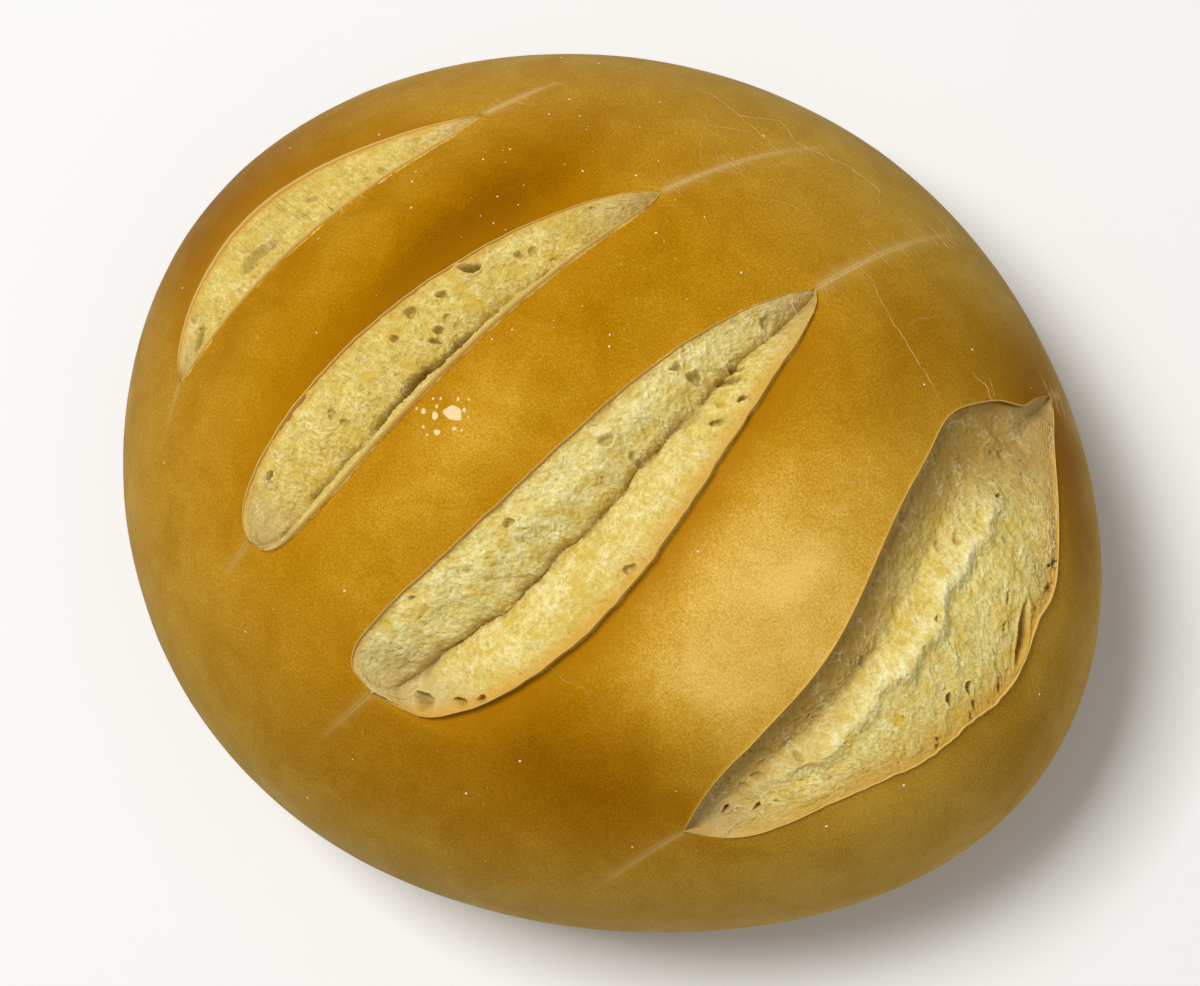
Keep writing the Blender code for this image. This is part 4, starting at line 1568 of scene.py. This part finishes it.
@dataclass
class DriedSpots:
    """Round spots where splashed dough dried on the crust before the oven."""

    form: LoafForm
    places: tuple = (
        (97.6, -5.4, 2.6, 1.7, 40.0), (99.9, -7.9, 1.1, 0.8, 0.0), (101.8, -5.4, 0.9, 0.7, 30.0),
        (100.6, -10.4, 0.8, 0.6, 10.0), (96.0, -4.0, 0.6, 0.5, 0.0), (98.5, -8.9, 0.5, 0.4, 0.0),
        (99.5, -3.2, 0.6, 0.45, 50.0), (95.2, -6.4, 0.5, 0.4, 0.0), (97.0, -9.3, 0.4, 0.35, 0.0),
        (102.6, -8.3, 0.5, 0.4, 0.0), (96.5, -2.6, 0.35, 0.3, 0.0), (101.0, -11.8, 0.4, 0.35, 0.0),
        (98.9, -1.9, 0.35, 0.3, 0.0), (94.1, -4.7, 0.4, 0.3, 0.0), (103.2, -6.6, 0.35, 0.3, 0.0),
    )
    height: float = 0.00022
    rings: int = 5
    spokes: int = 20

    def dress(self, crust: bpy.types.Object, finish: bpy.types.Material) -> bpy.types.Object:
        """Lays the spots on the crust.

        Args:
            crust: the finished crust.
            finish: the material of dried dough.

        Returns:
            All spots as one mesh of low closed domes.
        """
        ground = BVHTree.FromObject(crust, bpy.context.evaluated_depsgraph_get())
        points, faces = [], []
        for number, (around, across, long, wide, turn) in enumerate(self.places):
            centre = self.form.point(np.array(across), np.array(around))
            normal = self.form.normal(centre)
            east = np.cross(normal, (0.0, 0.0, 1.0))
            east /= np.linalg.norm(east)
            north = np.cross(normal, east)
            spin = math.radians(turn)
            first = len(points)
            for ring in range(1, self.rings + 1):
                for spoke in range(self.spokes):
                    angle = 2 * math.pi * spoke / self.spokes
                    out = ring / self.rings * (1 + 0.08 * math.sin(3 * angle + number) + 0.05 * math.sin(5 * angle))
                    run, side = long * MM * out * math.cos(angle), wide * MM * out * math.sin(angle)
                    step = east * (run * math.cos(spin) - side * math.sin(spin))
                    step = step + north * (run * math.sin(spin) + side * math.cos(spin))
                    points.append(self.settle(ground, centre + step, normal, 1 - (ring / self.rings) ** 3))
            points.append(self.settle(ground, centre, normal, 1.0))
            points.append(self.settle(ground, centre, normal, -2.5))
            faces.extend(self.dome(first))
        return self.plain(new_piece("dried_spots", np.array(points), faces, {}), finish)

    def settle(self, ground: BVHTree, point: np.ndarray, normal: np.ndarray, rise: float) -> np.ndarray:
        """Drops a point onto the crust and raises it by a share of the spot's height."""
        start = Vector(point + normal * 0.005)
        hit = ground.ray_cast(start, Vector(-normal))[0]
        return np.array(hit) + normal * self.height * (rise - 0.25)

    def dome(self, first: int) -> list:
        """Lists the faces of one spot whose points start at that number."""
        faces = []
        middle = first + self.rings * self.spokes
        for spoke in range(self.spokes):
            after = (spoke + 1) % self.spokes
            faces.append([first + spoke, first + after, middle])
            for ring in range(self.rings - 1):
                low, high = first + ring * self.spokes, first + (ring + 1) * self.spokes
                faces.append([low + spoke, high + spoke, high + after, low + after])
            rim = first + (self.rings - 1) * self.spokes
            faces.append([rim + after, rim + spoke, middle + 1])
        return faces

    def plain(self, piece: bpy.types.Object, finish: bpy.types.Material) -> bpy.types.Object:
        """Turns the faces outwards, smooths them and sets the material."""
        shell = bmesh.new()
        shell.from_mesh(piece.data)
        bmesh.ops.recalc_face_normals(shell, faces=shell.faces[:])
        shell.to_mesh(piece.data)
        shell.free()
        piece.data.shade_smooth()
        piece.data.materials.append(finish)
        return piece


@dataclass
class Studio:
    """Pale floor, soft light and a camera where the photograph's was."""

    form: LoafForm
    shift: np.ndarray
    azimuth: float = -18.0
    elevation: float = 68.0
    roll: float = -44.71
    distance: float = 0.5
    focal_pixels: float = 2180.14
    centre_pixels: tuple = (580.22, 473.91)
    aim_height: float = 0.045

    def axes(self) -> tuple[Vector, Vector, Vector]:
        """Gives the camera's right, up and backward directions."""
        azimuth, elevation, roll = (math.radians(angle) for angle in (self.azimuth, self.elevation, self.roll))
        back = Vector(
            (math.cos(azimuth) * math.cos(elevation), math.sin(azimuth) * math.cos(elevation), math.sin(elevation))
        )
        level = (-back).cross(Vector((0, 0, 1))).normalized()
        upright = level.cross(-back)
        right = math.cos(roll) * level + math.sin(roll) * upright
        up = -math.sin(roll) * level + math.cos(roll) * upright
        return right, up, back

    def camera(self) -> None:
        """Puts the camera in place."""
        right, up, back = self.axes()
        turn = Matrix((right, up, back)).transposed().to_4x4()
        turn.translation = Vector((0, 0, self.aim_height)) + self.distance * back + Vector(self.shift)
        data = bpy.data.cameras.new("camera")
        data.sensor_width = 36.0
        data.lens = self.focal_pixels * data.sensor_width / PHOTO_WIDTH
        data.shift_x = (PHOTO_WIDTH / 2 - self.centre_pixels[0]) / PHOTO_WIDTH
        data.shift_y = (self.centre_pixels[1] - PHOTO_HEIGHT / 2) / PHOTO_WIDTH
        camera = bpy.data.objects.new("camera", data)
        camera.matrix_world = turn
        bpy.context.scene.collection.objects.link(camera)
        bpy.context.scene.camera = camera

    def lamp(self, name: str, place: Vector, size: float, power: float) -> None:
        """Hangs one soft light that faces the loaf.

        Args:
            name: name of the light.
            place: where it hangs.
            size: side of its square face.
            power: its power in watts.
        """
        data = bpy.data.lights.new(name, "AREA")
        data.size = size
        data.energy = power
        lamp = bpy.data.objects.new(name, data)
        lamp.location = place
        lamp.rotation_euler = (-place).to_track_quat("-Z", "Y").to_euler()
        bpy.context.scene.collection.objects.link(lamp)

    def floor(self) -> bpy.types.Object:
        """Lays the pale floor."""
        mesh = bpy.data.meshes.new("floor")
        mesh.from_pydata([(-3, -3, 0), (3, -3, 0), (3, 3, 0), (-3, 3, 0)], [], [(0, 1, 2, 3)])
        made = bpy.data.materials.new("pale painted board")
        made.use_nodes = True
        shader = made.node_tree.nodes["Principled BSDF"]
        shader.inputs["Base Color"].default_value = linear("#f1f0ee")
        shader.inputs["Roughness"].default_value = 0.9
        mesh.materials.append(made)
        floor = bpy.data.objects.new("floor", mesh)
        bpy.context.scene.collection.objects.link(floor)
        return floor

    def build(self) -> None:
        """Sets up the floor, the light and the camera."""
        self.floor()
        right, up, back = self.axes()
        self.lamp("key light", (-0.52 * right + 0.40 * up + 0.92 * back) * 1.1, 0.5, 12.4)
        self.lamp("fill light", (0.5 * right - 0.25 * up + 0.9 * back) * 1.3, 1.2, 2.5)
        world = bpy.data.worlds.new("studio")
        world.use_nodes = True
        shade = world.node_tree.nodes["Background"]
        shade.inputs["Color"].default_value = linear("#f4f4f4")
        shade.inputs["Strength"].default_value = 0.30
        bpy.context.scene.world = world
        bpy.context.scene.view_settings.view_transform = "Standard"
        self.camera()


@dataclass
class SourdoughLoaf:
    """The whole loaf: crust, crumb and what lies on it."""

    form: LoafForm

    def build(self) -> list[tuple[bpy.types.Object, Slot]]:
        """Makes every piece in its own plain frame.

        Returns:
            Each piece with the material slot that it takes its finish from.
        """
        crust = Crust(self.form)
        skin = crust.dress(CrustFinish().material())
        pieces = [(skin, Slot.CRUST)]
        crumb_finish = CrumbFinish().material()
        gluten = PowderFinish("dried gluten", "#efe6c6", "#d9c894").material()
        for slash, ends in zip(SLASHES, THREAD_ENDS):
            crumb = Crumb(self.form, slash, crust).dress(crumb_finish)
            pieces.append((crumb, Slot.CRUMB))
            threads = ()
            for number, (shares, places, count) in enumerate(ends):
                threads += torn_threads(slash, shares, places, count, 10 * SLASHES.index(slash) + number)
            strands = Hairlines(f"threads_{slash.name}", self.form, threads, 0.0002, 0.5, 1.2)
            pieces.append((strands.dress(crumb, gluten), Slot.CRUMB))
        dough = PowderFinish("dried dough", "#cda55f", "#b88c40").material()
        marks = CRACKS
        for slash, count in zip(SLASHES, (14, 46, 34, 8)):
            marks += stretch_marks(slash, count, 50 + SLASHES.index(slash))
        pieces.append((Hairlines("cracks", self.form, marks).dress(skin, dough), Slot.CRUST))
        flour = PowderFinish("wheat flour", "#f6f0de", "#e2d3ab").material()
        pieces.append((FlourSpecks().dress(skin, flour), Slot.CRUST))
        wax = PowderFinish("dried splash of dough", "#f0dcae", "#dcb878").material()
        pieces.append((DriedSpots(self.form).dress(skin, wax), Slot.CRUST))
        return pieces


def move_mesh(piece: bpy.types.Object, shift: np.ndarray) -> None:
    """Moves a piece inside its own mesh, so that its object stays at the origin."""
    piece.data.transform(Matrix.Translation(Vector(shift)))
    piece.data.update()


def main() -> None:
    """Builds the loaf around the frame and sets up the studio."""
    logging.basicConfig(level=logging.INFO, format="%(message)s")
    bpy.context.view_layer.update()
    form = LoafForm()
    pieces = SourdoughLoaf(form).build()
    lowest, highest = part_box("loaf")
    crust_points = np.array([vert.co for vert in pieces[0][0].data.vertices])
    middle = (crust_points.min(0) + crust_points.max(0)) / 2
    shift = np.array([(lowest.x + highest.x) / 2 - middle[0], (lowest.y + highest.y) / 2 - middle[1], 0.0])
    for piece, slot in pieces:
        move_mesh(piece, shift)
        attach(piece, "root")
        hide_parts("loaf")
        piece.data.calc_loop_triangles()
        LOG.info("%s: %d triangles", piece.name, len(piece.data.loop_triangles))
    Studio(form, shift).build()


if __name__ == "__main__":
    main()
